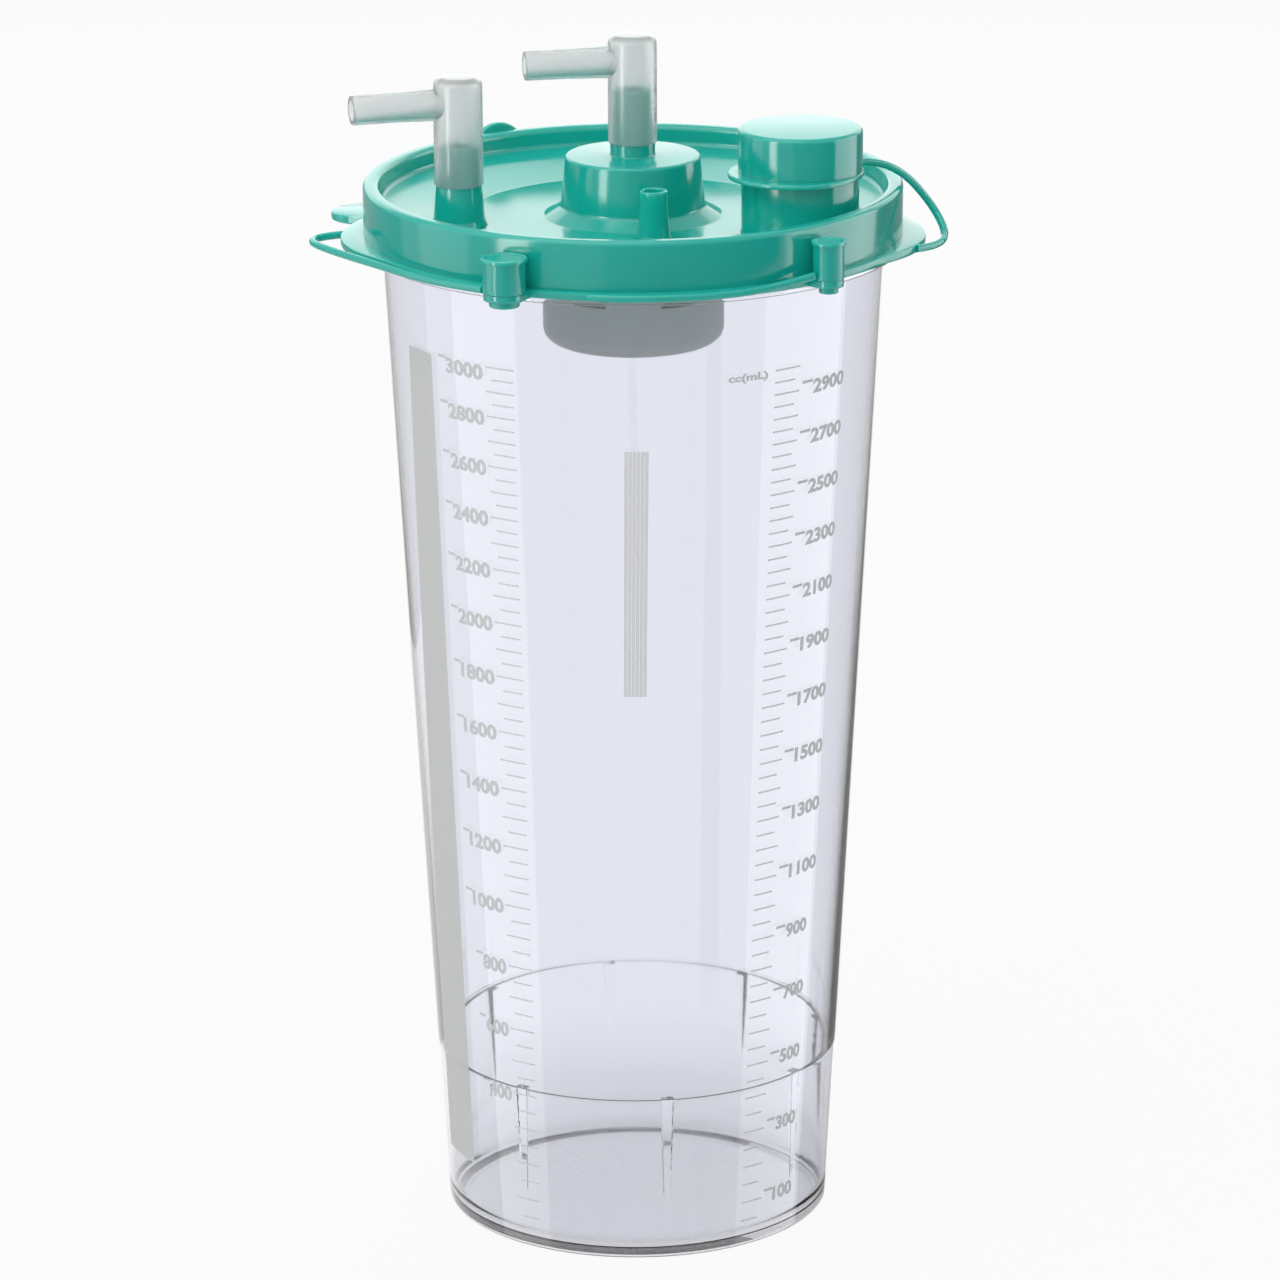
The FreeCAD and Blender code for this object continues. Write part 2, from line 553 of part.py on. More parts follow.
def build_plug(side, centre):
    """Tethered plug parked beside the rim: grip, barrel and a stem through the flange."""
    body = new_body(f"{side}_plug")
    grip, height, stem = f"{side}_plug_radius", f"{side}_plug_height", f"{side}_plug_stem"
    revolve(body, "Plug", [
        ("0", "-(flange_thickness + stem_drop)"),
        (stem, "-(flange_thickness + stem_drop)"),
        (stem, "0"),
        (f"{grip} - plug_neck", "0"),
        (f"{grip} - plug_neck", f"{height} - plug_grip"),
        (grip, f"{height} - plug_grip"),
        (grip, height),
        ("0", height),
    ])
    round_edges(body, "GripEdge", "plug_round", [(grip, height)])
    place(body, **at(centre, f"{side}_plug_turn"), z=FLANGE_TOP)
    return body


def build_float_cage():
    """Grey cup under the deck with windows near its top and guide ribs for the float."""
    body = new_body("float_cage")
    revolve(body, "Cup", [
        ("0", "0"),
        ("cage_radius", "0"),
        ("cage_radius", CAGE_HEIGHT),
        (CAGE_INNER, CAGE_HEIGHT),
        (CAGE_INNER, "cage_wall"),
        ("0", "cage_wall"),
    ])
    round_edges(body, "BottomCorner", "cage_round", [("cage_radius", "0")])
    round_edges(body, "FloorCorner", "cage_round - cage_wall", [(CAGE_INNER, "cage_wall")])
    window = primitive(body, "SubtractiveBox", "Window",
                       {"Length": "cage_wall * 3", "Width": "window_width",
                        "Height": "window_height"},
                       x=f"{CAGE_INNER} - cage_wall", y="-window_width / 2",
                       z=f"{CAGE_HEIGHT} - window_drop")
    polar_pattern(body, window, "window_count")
    guide_inner = "(float_radius + float_fit)"
    guide = primitive(body, "AdditiveBox", "GuideRib",
                      {"Length": f"{CAGE_INNER} - {guide_inner} + guide_root",
                       "Width": "guide_width", "Height": "guide_height + guide_root"},
                      x=guide_inner, y="-guide_width / 2", z="cage_wall - guide_root")
    polar_pattern(body, guide, "guide_count")
    rest = primitive(body, "AdditiveBox", "FloatRest",
                     {"Length": f"{CAGE_INNER} - rest_start", "Width": "guide_width",
                      "Height": "guide_foot + guide_root"},
                     x="rest_start", y="-guide_width / 2", z="cage_wall - guide_root")
    polar_pattern(body, rest, "guide_count")
    place(body, z=CAGE_BOTTOM)
    return body


def build_float():
    """Float: a cup turned upside down, so that rising liquid traps air and lifts it."""
    body = new_body("shutoff_float")
    inner = "(float_radius - float_wall)"
    revolve(body, "Float", [
        (inner, "0"),
        ("float_radius", "0"),
        ("float_radius", "float_height"),
        ("0", "float_height"),
        ("0", "float_height - float_wall"),
        (inner, "float_height - float_wall"),
    ])
    round_edges(body, "FloatEdge", "float_wall", [("float_radius", "float_height")])
    place(body, z=FLOAT_FOOT)
    return body


def build_seal():
    """Soft disc on top of the float."""
    body = new_body("float_seal")
    primitive(body, "AdditiveCylinder", "Seal",
              {"Radius": "seal_radius", "Height": "seal_thickness"})
    place(body, z=FLOAT_TOP)
    return body


def build_valve_seat():
    """Insert in the lid's collar: a plate with the seat's nozzle below and a spigot above."""
    body = new_body("valve_seat")
    plate_radius = f"({CAGE_COLLAR_INNER} - seat_fit)"
    revolve(body, "Seat", [
        ("seat_bore", "-(seat_plate + seat_drop)"),
        ("seat_radius", "-(seat_plate + seat_drop)"),
        ("seat_radius", "-seat_plate"),
        (plate_radius, "-seat_plate"),
        (plate_radius, "0"),
        (SPIGOT_RADIUS, "0"),
        (SPIGOT_RADIUS, "spigot_height"),
        (f"{SPIGOT_RADIUS} - spigot_wall", "spigot_height"),
        (f"{SPIGOT_RADIUS} - spigot_wall", "0"),
        ("seat_bore", "0"),
    ])
    place(body, z=DECK_UNDER)
    return body


def build_filter():
    """Porous disc that stands on the valve seat's spigot inside the tower."""
    body = new_body("filter_disc")
    primitive(body, "AdditiveCylinder", "Disc",
              {"Radius": SPIGOT_RADIUS, "Height": "filter_thickness"})
    place(body, z=f"{DECK_UNDER} + spigot_height")
    return body


def rounded_path(points):
    """Straight runs joined by tangent arcs, each as large as its two runs allow."""
    share = 0.45
    edges = []
    start = points[0]
    for before, corner, after in zip(points, points[1:], points[2:]):
        back, ahead = before - corner, after - corner
        tangent = share * min(back.Length, ahead.Length)
        back.normalize()
        ahead.normalize()
        enter, leave = corner + back * tangent, corner + ahead * tangent
        bisector = back + ahead
        half_turn = (math.pi - back.getAngle(ahead)) / 2
        radius = tangent / math.tan(half_turn)
        bisector.normalize()
        centre = corner + bisector * (radius / math.cos(half_turn))
        middle = centre - bisector * radius
        edges += [Part.LineSegment(start, enter), Part.Arc(enter, middle, leave)]
        start = leave
    edges.append(Part.LineSegment(start, points[-1]))
    return Part.Wire([edge.toShape() for edge in edges])


def build_strap(label, points):
    """Round moulded strap along a path of runs and arcs."""
    path = rounded_path(points)
    ahead = points[1] - points[0]
    ring = Part.makeCircle(size("strap_radius"), points[0], ahead)
    strap = doc.addObject("Part::Feature", label)
    strap.Label = label
    strap.Shape = path.makePipeShell([Part.Wire([ring])], True, False)
    strap.Placement = Placement()
    return strap


def polar_spot(distance, turn, height):
    """A point at a distance from the axis, in a direction in degrees, at a height."""
    angle = math.radians(turn)
    return Vector(distance * math.cos(angle), distance * math.sin(angle), height)


# Heights and distances that the straps share, and their free routes beyond the lid's edge
EAR_SIDE = size(EAR)
FLANGE_MIDDLE = size("lip_top + flange_thickness / 2")
BESIDE_FLANGE = size(f"{FLANGE} + strap_radius + strap_gap")
# Right side: out from the ear's edge, along Y, above the flange's middle
SPOUT_ROUTE = [(1.5, -1.0, 8.5), (6.0, -7.5, 1.0), (3.4, -17.5, -0.4)]
# Over the rim: in from the ear's edge, along Y
SPOUT_CROSSING = (-7.0, -5.0)
# Left side's loop: out from the ear's edge, along Y
LEFT_LOOP = [(5.0, -4.0), (8.6, -9.5), (5.2, -17.0)]
# Left edge: direction in degrees, out from the line beside the flange
LEFT_ROUTE = [(-160.0, 4.3), (-150.0, 0.8), (-140.0, 0.3), (-130.0, 0.3)]
# Front edge: direction in degrees, above the flange's middle
RIGHT_ROUTE = [(-95.0, 0.0), (-84.0, 0.0), (-72.0, 0.0), (-61.0, 0.6)]
# Where the two long straps are rooted in their ears, along Y
LEFT_ROOT_Y, SPOUT_ROOT_Y = -2.0, -22.5


def ear_edge(y):
    """How far out an ear's curved edge is at a given Y, less the strap's root."""
    across = y + size("ear_back")
    half_chord = math.sqrt(size("ear_radius") ** 2 - across ** 2)
    return size(f"{EAR} - ear_radius - strap_root") + half_chord


def build_spout_strap():
    """Strap from the cap's bead over the rim and down to the right ear's edge."""
    cap = spot(**SPOUT_SPOT, z=f"{CAP_FOOT} + cap_bead_height / 2")
    outward = polar_spot(1.0, size("strap_leave"), 0)
    start = cap + outward * size(f"{CAP_RADIUS} + cap_bead + strap_gap")
    crossing_x, crossing_y = SPOUT_CROSSING
    points = [
        start,
        start + outward * size("strap_lead"),
        Vector(EAR_SIDE + crossing_x, crossing_y, size(f"{RIM_TOP} + strap_radius + strap_hop")),
        *[Vector(EAR_SIDE + out, y, FLANGE_MIDDLE + up) for out, y, up in SPOUT_ROUTE],
        Vector(ear_edge(SPOUT_ROOT_Y), SPOUT_ROOT_Y, FLANGE_MIDDLE),
    ]
    return build_strap("spout_cap_strap", points)


def plug_side(side, centre):
    """Direction in degrees of the point just short of a plug's grip, on the plug's own circle."""
    back = math.degrees(size(f"({side}_plug_radius + strap_gap)") / size(centre))
    return size(f"{side}_plug_turn") - back


def build_left_strap():
    """Strap from the left ear, round a loop and along the flange's edge to the wide plug."""
    points = [
        Vector(-ear_edge(LEFT_ROOT_Y), LEFT_ROOT_Y, FLANGE_MIDDLE),
        *[Vector(-EAR_SIDE - out, y, FLANGE_MIDDLE) for out, y in LEFT_LOOP],
        *[polar_spot(BESIDE_FLANGE + out, turn, FLANGE_MIDDLE) for turn, out in LEFT_ROUTE],
        polar_spot(size(LEFT_PLUG_CENTRE), plug_side("left", LEFT_PLUG_CENTRE),
                   FLANGE_MIDDLE + size("strap_radius")),
    ]
    return build_strap("left_plug_strap", points)


def build_right_strap():
    """Strap from the front of the flange along its edge to the narrow plug."""
    points = [
        polar_spot(size(FLANGE), size("right_strap_turn"), FLANGE_MIDDLE),
        *[polar_spot(BESIDE_FLANGE, turn, FLANGE_MIDDLE + up) for turn, up in RIGHT_ROUTE],
        polar_spot(size(RIGHT_PLUG_CENTRE), plug_side("right", RIGHT_PLUG_CENTRE),
                   FLANGE_MIDDLE + size("strap_climb")),
    ]
    return build_strap("right_plug_strap", points)


pieces = [
    build_canister(),
    build_lid(),
    build_elbow("patient_elbow", PATIENT_SPOT, PATIENT_FOOT, "patient_turn"),
    build_elbow("vacuum_elbow", {}, VACUUM_FOOT, "vacuum_turn"),
    build_spout_cap(),
    build_plug("left", LEFT_PLUG_CENTRE),
    build_plug("right", RIGHT_PLUG_CENTRE),
    build_float_cage(),
    build_float(),
    build_seal(),
    build_valve_seat(),
    build_filter(),
    build_spout_strap(),
    build_left_strap(),
    build_right_strap(),
]
doc.recompute()

# Nothing is written unless every object and every shape is sound
for item in doc.Objects:
    if "Invalid" in item.State or "Error" in item.State:
        raise RuntimeError(f"{item.Label} did not build: {item.State}")
for piece in pieces:
    if piece.Shape.isNull() or not piece.Shape.isValid():
        raise RuntimeError(f"{piece.Label} has no valid shape")

os.makedirs("parts", exist_ok=True)
for piece in pieces:
    piece.Shape.exportStep(f"parts/{piece.Label}.step")
    box = piece.Shape.BoundBox
    print(f"{piece.Label}: {len(piece.Shape.Solids)} solid, {piece.Shape.Volume:.0f} mm3, "
          f"x {box.XMin:.1f} {box.XMax:.1f}, y {box.YMin:.1f} {box.YMax:.1f}, "
          f"z {box.ZMin:.1f} {box.ZMax:.1f}")
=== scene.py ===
# %% [markdown]
# # A suction canister
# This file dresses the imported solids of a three-litre suction canister: a clear tapered
# container with a teal push-fit lid, two milky elbows, a capped spout and two parked plugs.
# The solids keep every size. Blender adds rounded surfaces, finishes, the printed scale,
# light and a camera. Heights and radii below are in millimetres, and one factor turns them
# to metres when a mesh is made.

import bmesh
import bpy
import numpy as np
from mathutils import Matrix, Vector


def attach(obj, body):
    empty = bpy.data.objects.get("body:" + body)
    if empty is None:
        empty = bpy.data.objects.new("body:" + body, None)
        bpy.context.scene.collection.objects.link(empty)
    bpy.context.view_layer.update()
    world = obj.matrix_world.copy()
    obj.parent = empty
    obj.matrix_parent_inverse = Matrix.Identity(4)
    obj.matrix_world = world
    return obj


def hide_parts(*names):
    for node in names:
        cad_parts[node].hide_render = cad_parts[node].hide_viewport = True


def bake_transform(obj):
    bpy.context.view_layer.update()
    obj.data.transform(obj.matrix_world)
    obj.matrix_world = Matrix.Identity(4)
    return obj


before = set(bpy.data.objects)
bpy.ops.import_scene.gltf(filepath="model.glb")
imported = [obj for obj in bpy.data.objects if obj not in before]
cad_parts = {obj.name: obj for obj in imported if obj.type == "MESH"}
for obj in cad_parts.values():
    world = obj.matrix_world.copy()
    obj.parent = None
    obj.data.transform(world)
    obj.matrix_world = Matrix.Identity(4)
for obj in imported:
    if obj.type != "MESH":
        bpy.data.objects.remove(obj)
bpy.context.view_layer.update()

MM = 0.001

# %% [markdown]
# ## Camera
# The photograph looks down a little on the canister through a long lens from under two
# metres away. Its place comes from the ellipses of the rim and base and from the printed
# scale, whose marks hold known volumes. The matrix is built from three directions, right,
# up and back, so no turn has to be guessed.

# %% Camera
CAMERA_DISTANCE, CAMERA_HEIGHT = 1739.2, 699.8
PITCH, ROLL = np.radians(16.988), np.radians(-0.2824)
FOCAL_PIXELS, FRAME_PIXELS, OFF_CENTRE_PIXELS = 6337.0, 1280.0, 4.87

forward = np.array([0, np.cos(PITCH), -np.sin(PITCH)])
level_right = np.array([1.0, 0, 0])
level_up = np.array([0, np.sin(PITCH), np.cos(PITCH)])
right = np.cos(ROLL) * level_right + np.sin(ROLL) * level_up
up = -np.sin(ROLL) * level_right + np.cos(ROLL) * level_up
spot = np.array([0, -CAMERA_DISTANCE, CAMERA_HEIGHT]) * MM

lens = bpy.data.cameras.new("camera")
lens.sensor_width = 36.0
lens.lens = FOCAL_PIXELS / FRAME_PIXELS * lens.sensor_width
lens.shift_x = OFF_CENTRE_PIXELS / FRAME_PIXELS
lens.clip_start, lens.clip_end = 0.05, 50.0
camera = bpy.data.objects.new("camera", lens)
bpy.context.scene.collection.objects.link(camera)
camera.matrix_world = Matrix([[*row, place] for row, place in
                              zip(np.stack([right, up, -forward], 1), spot)] + [[0, 0, 0, 1]])
bpy.context.scene.camera = camera
print("lens", round(lens.lens, 1), "mm")

# %% [markdown]
# ## Colours and nodes
# Colours are written as screen hex values, because that is how they are read off a picture.
# Shaders want linear light, so one function converts them. One more function adds a node,
# sets what it is told and links what it is given. That is all a material needs.

# %% Colour and node helpers
def paint(hex_colour):
    """Linear RGBA of a screen colour: each channel c becomes ((c + 0.055) / 1.055) ** 2.4."""
    screen = np.array([int(hex_colour[i:i + 2], 16) for i in (1, 3, 5)]) / 255
    linear = np.where(screen <= 0.04045, screen / 12.92, ((screen + 0.055) / 1.055) ** 2.4)
    return (*linear, 1.0)


def add(tree, kind, sockets=None, **settings):
    """Add a node, set its settings, and fill its sockets with values or other sockets."""
    node = tree.nodes.new(kind)
    for name, value in settings.items():
        setattr(node, name, value)
    for name, value in (sockets or {}).items():
        if isinstance(value, bpy.types.NodeSocket):
            tree.links.new(value, node.inputs[name])
        else:
            node.inputs[name].default_value = value
    return node


def grains(tree, where, size_mm, detail):
    """Noise over the object's own coordinates, with grains of a size in millimetres."""
    return add(tree, "ShaderNodeTexNoise", {"Vector": where, "Scale": 1 / (size_mm * MM),
                                            "Detail": detail})


def two_tone(tree, share, one, other):
    """A colour that goes from one to the other as the share goes from 0 to 1."""
    return add(tree, "ShaderNodeMix", {0: share, 6: paint(one), 7: paint(other)},
               data_type="RGBA")


def new_material(name):
    """An empty material and its tree."""
    material = bpy.data.materials.new(name)
    material.use_nodes = True
    material.node_tree.nodes.clear()
    return material, material.node_tree


print("screen grey #808080 is", round(paint("#808080")[0], 3), "in linear light")

# %% [markdown]
# ## Light and floor
# Glossy plastic is drawn by what it mirrors. The photograph shows a narrow bright panel in
# front to the left, whose reflection is the pale streak down the cap, wide panels along both
# sides, a panel behind that whitens the flat tops, and a dark room behind the camera, which
# leaves a deep green between the streaks. Two more, behind and in front, are never mirrored
# and only light the dull share of the colours, and one above does both. The backdrop is
# white. The world is dim for diffuse light and white for the camera and for mirrored and
# bent rays.
#
# Upright walls mirror what stands 17 degrees below the horizon, and the tapered wall what
# stands up to 26 degrees below it. So the side panels come in pairs: the high ones, which
# start just below the floor, are mirrored by the lid, and the low ones, wholly below it, by
# the container.

# %% World
world = bpy.data.worlds.new("studio")
bpy.context.scene.world = world
world.use_nodes = True
sky = world.node_tree
sky.nodes.clear()
rays = add(sky, "ShaderNodeLightPath")
seen = add(sky, "ShaderNodeMath", {0: rays.outputs["Is Camera Ray"],
                                   1: rays.outputs["Is Transmission Ray"]}, operation="MAXIMUM")
shiny = add(sky, "ShaderNodeMath", {0: seen.outputs[0], 1: rays.outputs["Is Glossy Ray"]},
            operation="MAXIMUM")
DULL_WORLD = 0.40
level = add(sky, "ShaderNodeMapRange", {"Value": shiny.outputs[0], "To Min": DULL_WORLD,
                                        "To Max": 1.0})
glow = add(sky, "ShaderNodeBackground", {"Color": paint("#FFFFFF"), "Strength": level.outputs[0]})
add(sky, "ShaderNodeOutputWorld", {"Surface": glow.outputs[0]})
print("world:", DULL_WORLD, "for diffuse rays, 1 for the others")


# %% Panels
def stand(direction, distance, height):
    """A place at a direction in degrees from the camera's side, a distance and a height."""
    turn = np.radians(direction)
    return Vector((distance * np.sin(turn), -distance * np.cos(turn), height))


def panel(name, place, width, height, radiance, aim=0.16, soaks=True, shines=True):
    """A white panel that faces the object. Only the object sees it, not the camera. One that
    doesn't soak in is only mirrored, and one that doesn't shine is never mirrored."""
    light = bpy.data.lights.new(name, "AREA")
    light.shape = "RECTANGLE"
    light.size, light.size_y = width, height
    light.energy = radiance * np.pi * width * height
    lamp = bpy.data.objects.new(name, light)
    bpy.context.scene.collection.objects.link(lamp)
    lamp.location = place
    lamp.rotation_euler = (Vector((0, 0, aim)) - place).to_track_quat("-Z", "Y").to_euler()
    lamp.visible_camera = False
    lamp.visible_transmission = False
    lamp.visible_diffuse = soaks
    lamp.visible_glossy = shines
    print(name, "at", [round(x, 2) for x in lamp.location])
    return lamp


HIGH, HIGH_MIDDLE, LOW, LOW_MIDDLE = 1.4, 0.5, 1.3, -0.85
panel("panel_streak", stand(-50, 1.3, HIGH_MIDDLE), 0.32, HIGH, 7.5, HIGH_MIDDLE, soaks=False)
panel("panel_left", stand(-86, 1.4, HIGH_MIDDLE), 0.7, HIGH, 0.9, HIGH_MIDDLE, soaks=False)
panel("panel_left_low", stand(-75, 1.4, LOW_MIDDLE), 0.92, LOW, 1.2, LOW_MIDDLE, soaks=False)
panel("panel_right", stand(94, 1.4, HIGH_MIDDLE), 1.5, HIGH, 2.7, HIGH_MIDDLE, soaks=False)
panel("panel_right_low", stand(90, 1.4, LOW_MIDDLE), 1.37, LOW, 1.05, LOW_MIDDLE, soaks=False)
panel("panel_back", stand(180, 1.7, 0.80), 3.2, 1.1, 0.92, 0.30)
panel("panel_above", stand(-50, 0.6, 1.5), 1.4, 1.4, 1.35, 0.30)
panel("panel_behind", stand(170, 1.1, 1.3), 1.4, 1.0, 1.0, 0.30, shines=False)
panel("panel_front", stand(-25, 1.6, 0.9), 1.2, 1.0, 1.0, 0.30, shines=False)

# %% [markdown]
# The floor is matt white paper. Seen directly it is almost burnt out to the backdrop's
# white, and keeps only the object's shadow. Seen through the clear wall its white glow is
# painted weaker near the base, a painted contact shade where the photograph shows one, and
# full further out. Mirrored rays pass it, because the low panels stand below it.

# %% Floor
FLOOR_HALF = 4.0
# Distances and glow levels of the painted contact shade seen through the wall.
BURNT_OUT, SHADE_NEAR, SHADE_FAR = 0.92, 0.05, 0.15
GLOW_NEAR, GLOW_FAR = 0.46, 0.94
corners = [(-FLOOR_HALF, -FLOOR_HALF, 0), (FLOOR_HALF, -FLOOR_HALF, 0),
           (FLOOR_HALF, FLOOR_HALF, 0), (-FLOOR_HALF, FLOOR_HALF, 0)]
floor_mesh = bpy.data.meshes.new("floor")
floor_mesh.from_pydata(corners, [], [(0, 1, 2, 3)])
floor = bpy.data.objects.new("floor", floor_mesh)
bpy.context.scene.collection.objects.link(floor)
floor_material, tree = new_material("white_paper")
grain = add(tree, "ShaderNodeTexNoise", {"Scale": 900.0, "Detail": 2.0})
relief = add(tree, "ShaderNodeBump", {"Strength": 0.03, "Distance": 0.0002,
                                      "Height": grain.outputs[0]})
sheet = add(tree, "ShaderNodeBsdfPrincipled", {"Base Color": paint("#D2D2D2"), "Roughness": 0.9,
                                               "Normal": relief.outputs[0]})
white = add(tree, "ShaderNodeEmission", {"Color": paint("#FFFFFF"), "Strength": 1.0})
rays = add(tree, "ShaderNodeLightPath")
place = add(tree, "ShaderNodeTexCoord")
away = add(tree, "ShaderNodeVectorMath", {0: place.outputs["Object"]}, operation="LENGTH")
# Painted contact shade: through the wall, the paper's white glow grows with distance from the
# base, so it is weaker near the base.
painted_shade_glow = add(tree, "ShaderNodeMapRange", {
    "Value": away.outputs["Value"], "From Min": SHADE_NEAR, "From Max": SHADE_FAR,
    "To Min": GLOW_NEAR, "To Max": GLOW_FAR})
bent = add(tree, "ShaderNodeMath", {0: rays.outputs["Is Transmission Ray"],
                                    1: painted_shade_glow.outputs[0]}, operation="MULTIPLY")
plain = add(tree, "ShaderNodeMath", {0: rays.outputs["Is Camera Ray"], 1: BURNT_OUT},
            operation="MULTIPLY")
white_share = add(tree, "ShaderNodeMath", {0: bent.outputs[0], 1: plain.outputs[0]},
                  operation="MAXIMUM")
paper = add(tree, "ShaderNodeMixShader", {0: white_share.outputs[0], 1: sheet.outputs[0],
                                          2: white.outputs[0]})
add(tree, "ShaderNodeOutputMaterial", {"Surface": paper.outputs[0]})
floor.data.materials.append(floor_material)
floor.visible_glossy = False
print("floor", 2 * FLOOR_HALF, "m wide")

# %% [markdown]
# Dark cloths give the clear wall and the rim their dark edges. They stand in front to the
# right and behind on both sides, and only mirrored rays see them.

# %% Dark cloths that only mirror
def dark_cloth(name, left, right, low, high, near_level, far_level):
    """An upright card from one place to another, seen in mirrored rays alone. Its glow runs
    from one level at its left end to another at its right end."""
    mesh = bpy.data.meshes.new(name)
    corners = [(*left, low), (*right, low), (*right, high), (*left, high)]
    mesh.from_pydata(corners, [], [(0, 1, 2, 3)])
    card = bpy.data.objects.new(name, mesh)
    bpy.context.scene.collection.objects.link(card)
    material, tree = new_material(name)
    place = add(tree, "ShaderNodeTexCoord")
    parts = add(tree, "ShaderNodeSeparateXYZ", {0: place.outputs["Object"]})
    fade = add(tree, "ShaderNodeMapRange", {"Value": parts.outputs[0], "From Min": left[0],
                                            "From Max": right[0], "To Min": near_level,
                                            "To Max": far_level})
    dusk = add(tree, "ShaderNodeEmission", {"Color": paint("#FFFFFF"),
                                            "Strength": fade.outputs[0]})
    add(tree, "ShaderNodeOutputMaterial", {"Surface": dusk.outputs[0]})
    card.data.materials.append(material)
    for sight in ("visible_camera", "visible_diffuse", "visible_transmission", "visible_shadow"):
        setattr(card, sight, False)
    print(name, "from", left, "to", right)


dark_cloth("cloth_front", (-0.5, -2.3), (4.6, -2.3), -0.8, 0.9, 0.6, 0.0)
dark_cloth("cloth_left", (-1.75, 0.75), (-0.45, 1.9), -0.45, 0.5, 0.4, 0.5)
dark_cloth("cloth_right", (0.45, 1.9), (1.75, 0.75), -1.6, 0.5, 0.35, 0.15)

# %% [markdown]
# ## Surfaces from arrays
# Nearly every piece here was moulded round an axis, so its surface is a profile turned
# round that axis: a grid of points, one way along the profile and the other way round.
# The profile is a list of corners, each with the radius of its rounding.

# %% Profiles and grids
def rounded(corners, steps=6):
    """Corners (radius, height, rounding) as points, each rounding an arc tangent to its two
    sides: its centre lies along the bisector at rounding / sin(half angle)."""
    data = np.array(corners, float)
    here, size = data[:, :2], data[:, 2:]
    back = np.roll(here, 1, 0) - here
    ahead = np.roll(here, -1, 0) - here
    back /= np.linalg.norm(back, axis=1, keepdims=True)
    ahead /= np.linalg.norm(ahead, axis=1, keepdims=True)
    half = np.arccos(np.clip((back * ahead).sum(1, keepdims=True), -1, 1)) / 2
    bisector = back + ahead
    bisector /= np.maximum(np.linalg.norm(bisector, axis=1, keepdims=True), 1e-9)
    centre = here + bisector * size / np.sin(half)
    start = here + back * size / np.tan(half) - centre
    end = here + ahead * size / np.tan(half) - centre
    share = np.linspace(0, 1, steps)[None, :, None]
    sweep = (np.pi - 2 * half)[:, None, :]
    wide = np.maximum(np.sin(sweep), 1e-6)
    arcs = np.sin((1 - share) * sweep) * start[:, None] + np.sin(share * sweep) * end[:, None]
    points = (centre[:, None] + arcs / wide).reshape(-1, 2)
    fresh = np.linalg.norm(points - np.roll(points, 1, 0), axis=1) > 1e-5
    return points[fresh]


def turned(profile, around=192, at=(0, 0)):
    """Points (r cos t, r sin t, z) of a profile (r, z) for angles t round the axis."""
    turn = np.linspace(0, 2 * np.pi, around, endpoint=False)
    radius, height = profile[:, :1], profile[:, 1:]
    return np.stack([at[0] + radius * np.cos(turn), at[1] + radius * np.sin(turn),
                     height + 0 * turn], -1)


def quads(grid, close_rows=True, close_columns=True):
    """Points and faces of a grid; row and column ends meet where they are closed."""
    rows, columns = grid.shape[:2]
    index = np.arange(rows * columns).reshape(rows, columns)
    index = np.vstack([index, index[:1]]) if close_rows else index
    index = np.hstack([index, index[:, :1]]) if close_columns else index
    faces = np.stack([index[:-1, :-1], index[:-1, 1:], index[1:, 1:], index[1:, :-1]], -1)
    return grid.reshape(-1, 3), faces.reshape(-1, 4)


def together(*shells):
    """Several (points, faces) as one."""
    starts = np.cumsum([0] + [len(points) for points, faces in shells[:-1]])
    return (np.vstack([points for points, faces in shells]),
            np.vstack([faces + start for start, (points, faces) in zip(starts, shells)]))


square = rounded([(0, 0, 0.2), (1, 0, 0.2), (1, 1, 0.2), (0, 1, 0.2)])
print("a square with rounded corners has", len(square), "points")


# %% From arrays to an object
def weld_mesh(mesh, reach, sliver, turn_out=False):
    """Merge points closer than a reach, dissolve edges shorter than a sliver (both in
    metres), and turn the faces outwards if asked."""
    work = bmesh.new()
    work.from_mesh(mesh)
    bmesh.ops.remove_doubles(work, verts=work.verts, dist=reach)
    bmesh.ops.dissolve_degenerate(work, edges=work.edges, dist=sliver)
    if turn_out:
        bmesh.ops.recalc_face_normals(work, faces=work.faces)
    work.to_mesh(mesh)
    work.free()


def show_smooth(mesh, sharp):
    """Smooth shading that keeps edges sharper than an angle crisp."""
    mesh.shade_smooth()
    mesh.set_sharp_from_angle(angle=np.radians(sharp))


def place_in_scene(name, mesh):
    """An object of a mesh, linked to the scene."""
    piece = bpy.data.objects.new(name, mesh)
    bpy.context.scene.collection.objects.link(piece)
    return piece


def make(name, shell, sharp=40):
    """A mesh object of (points, faces) in millimetres: doubles merged, faces turned outwards,
    and edges sharper than an angle left crisp."""
    points, faces = shell
    mesh = bpy.data.meshes.new(name)
    mesh.from_pydata((points * MM).tolist(), [], faces.tolist())
    weld_mesh(mesh, 2e-7, 1e-8, turn_out=True)
    show_smooth(mesh, sharp)
    return place_in_scene(name, mesh)


def settle(piece, sharp=40):
    """Apply a piece's modifiers, weld the slivers that cutting leaves, and set its crisp
    edges again."""
    seen_by = bpy.context.evaluated_depsgraph_get()
    mesh = bpy.data.meshes.new_from_object(piece.evaluated_get(seen_by))
    weld_mesh(mesh, 5e-6, 1e-6)
    piece.modifiers.clear()
    piece.data = mesh
    show_smooth(mesh, sharp)
    return piece


def combine(piece, tool, operation):
    """Join a closed tool shape to a piece or cut it away, and drop the tool."""
    step = piece.modifiers.new(operation, "BOOLEAN")
    step.operation, step.solver, step.object = operation, "EXACT", tool
    settle(piece)
    bpy.data.objects.remove(tool)
    return piece


def finish_piece(piece, material, body, nodes=()):
    """Give a finished piece its material, the body it rides on, and the nodes it stands for."""
    piece.data.materials.clear()
    piece.data.materials.append(material)
    if body:
        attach(piece, body)
    if nodes:
        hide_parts(*nodes)
    print(piece.name, len(piece.data.polygons), "faces,",
          [round(x * 1000, 1) for x in piece.dimensions], "mm")
    return piece


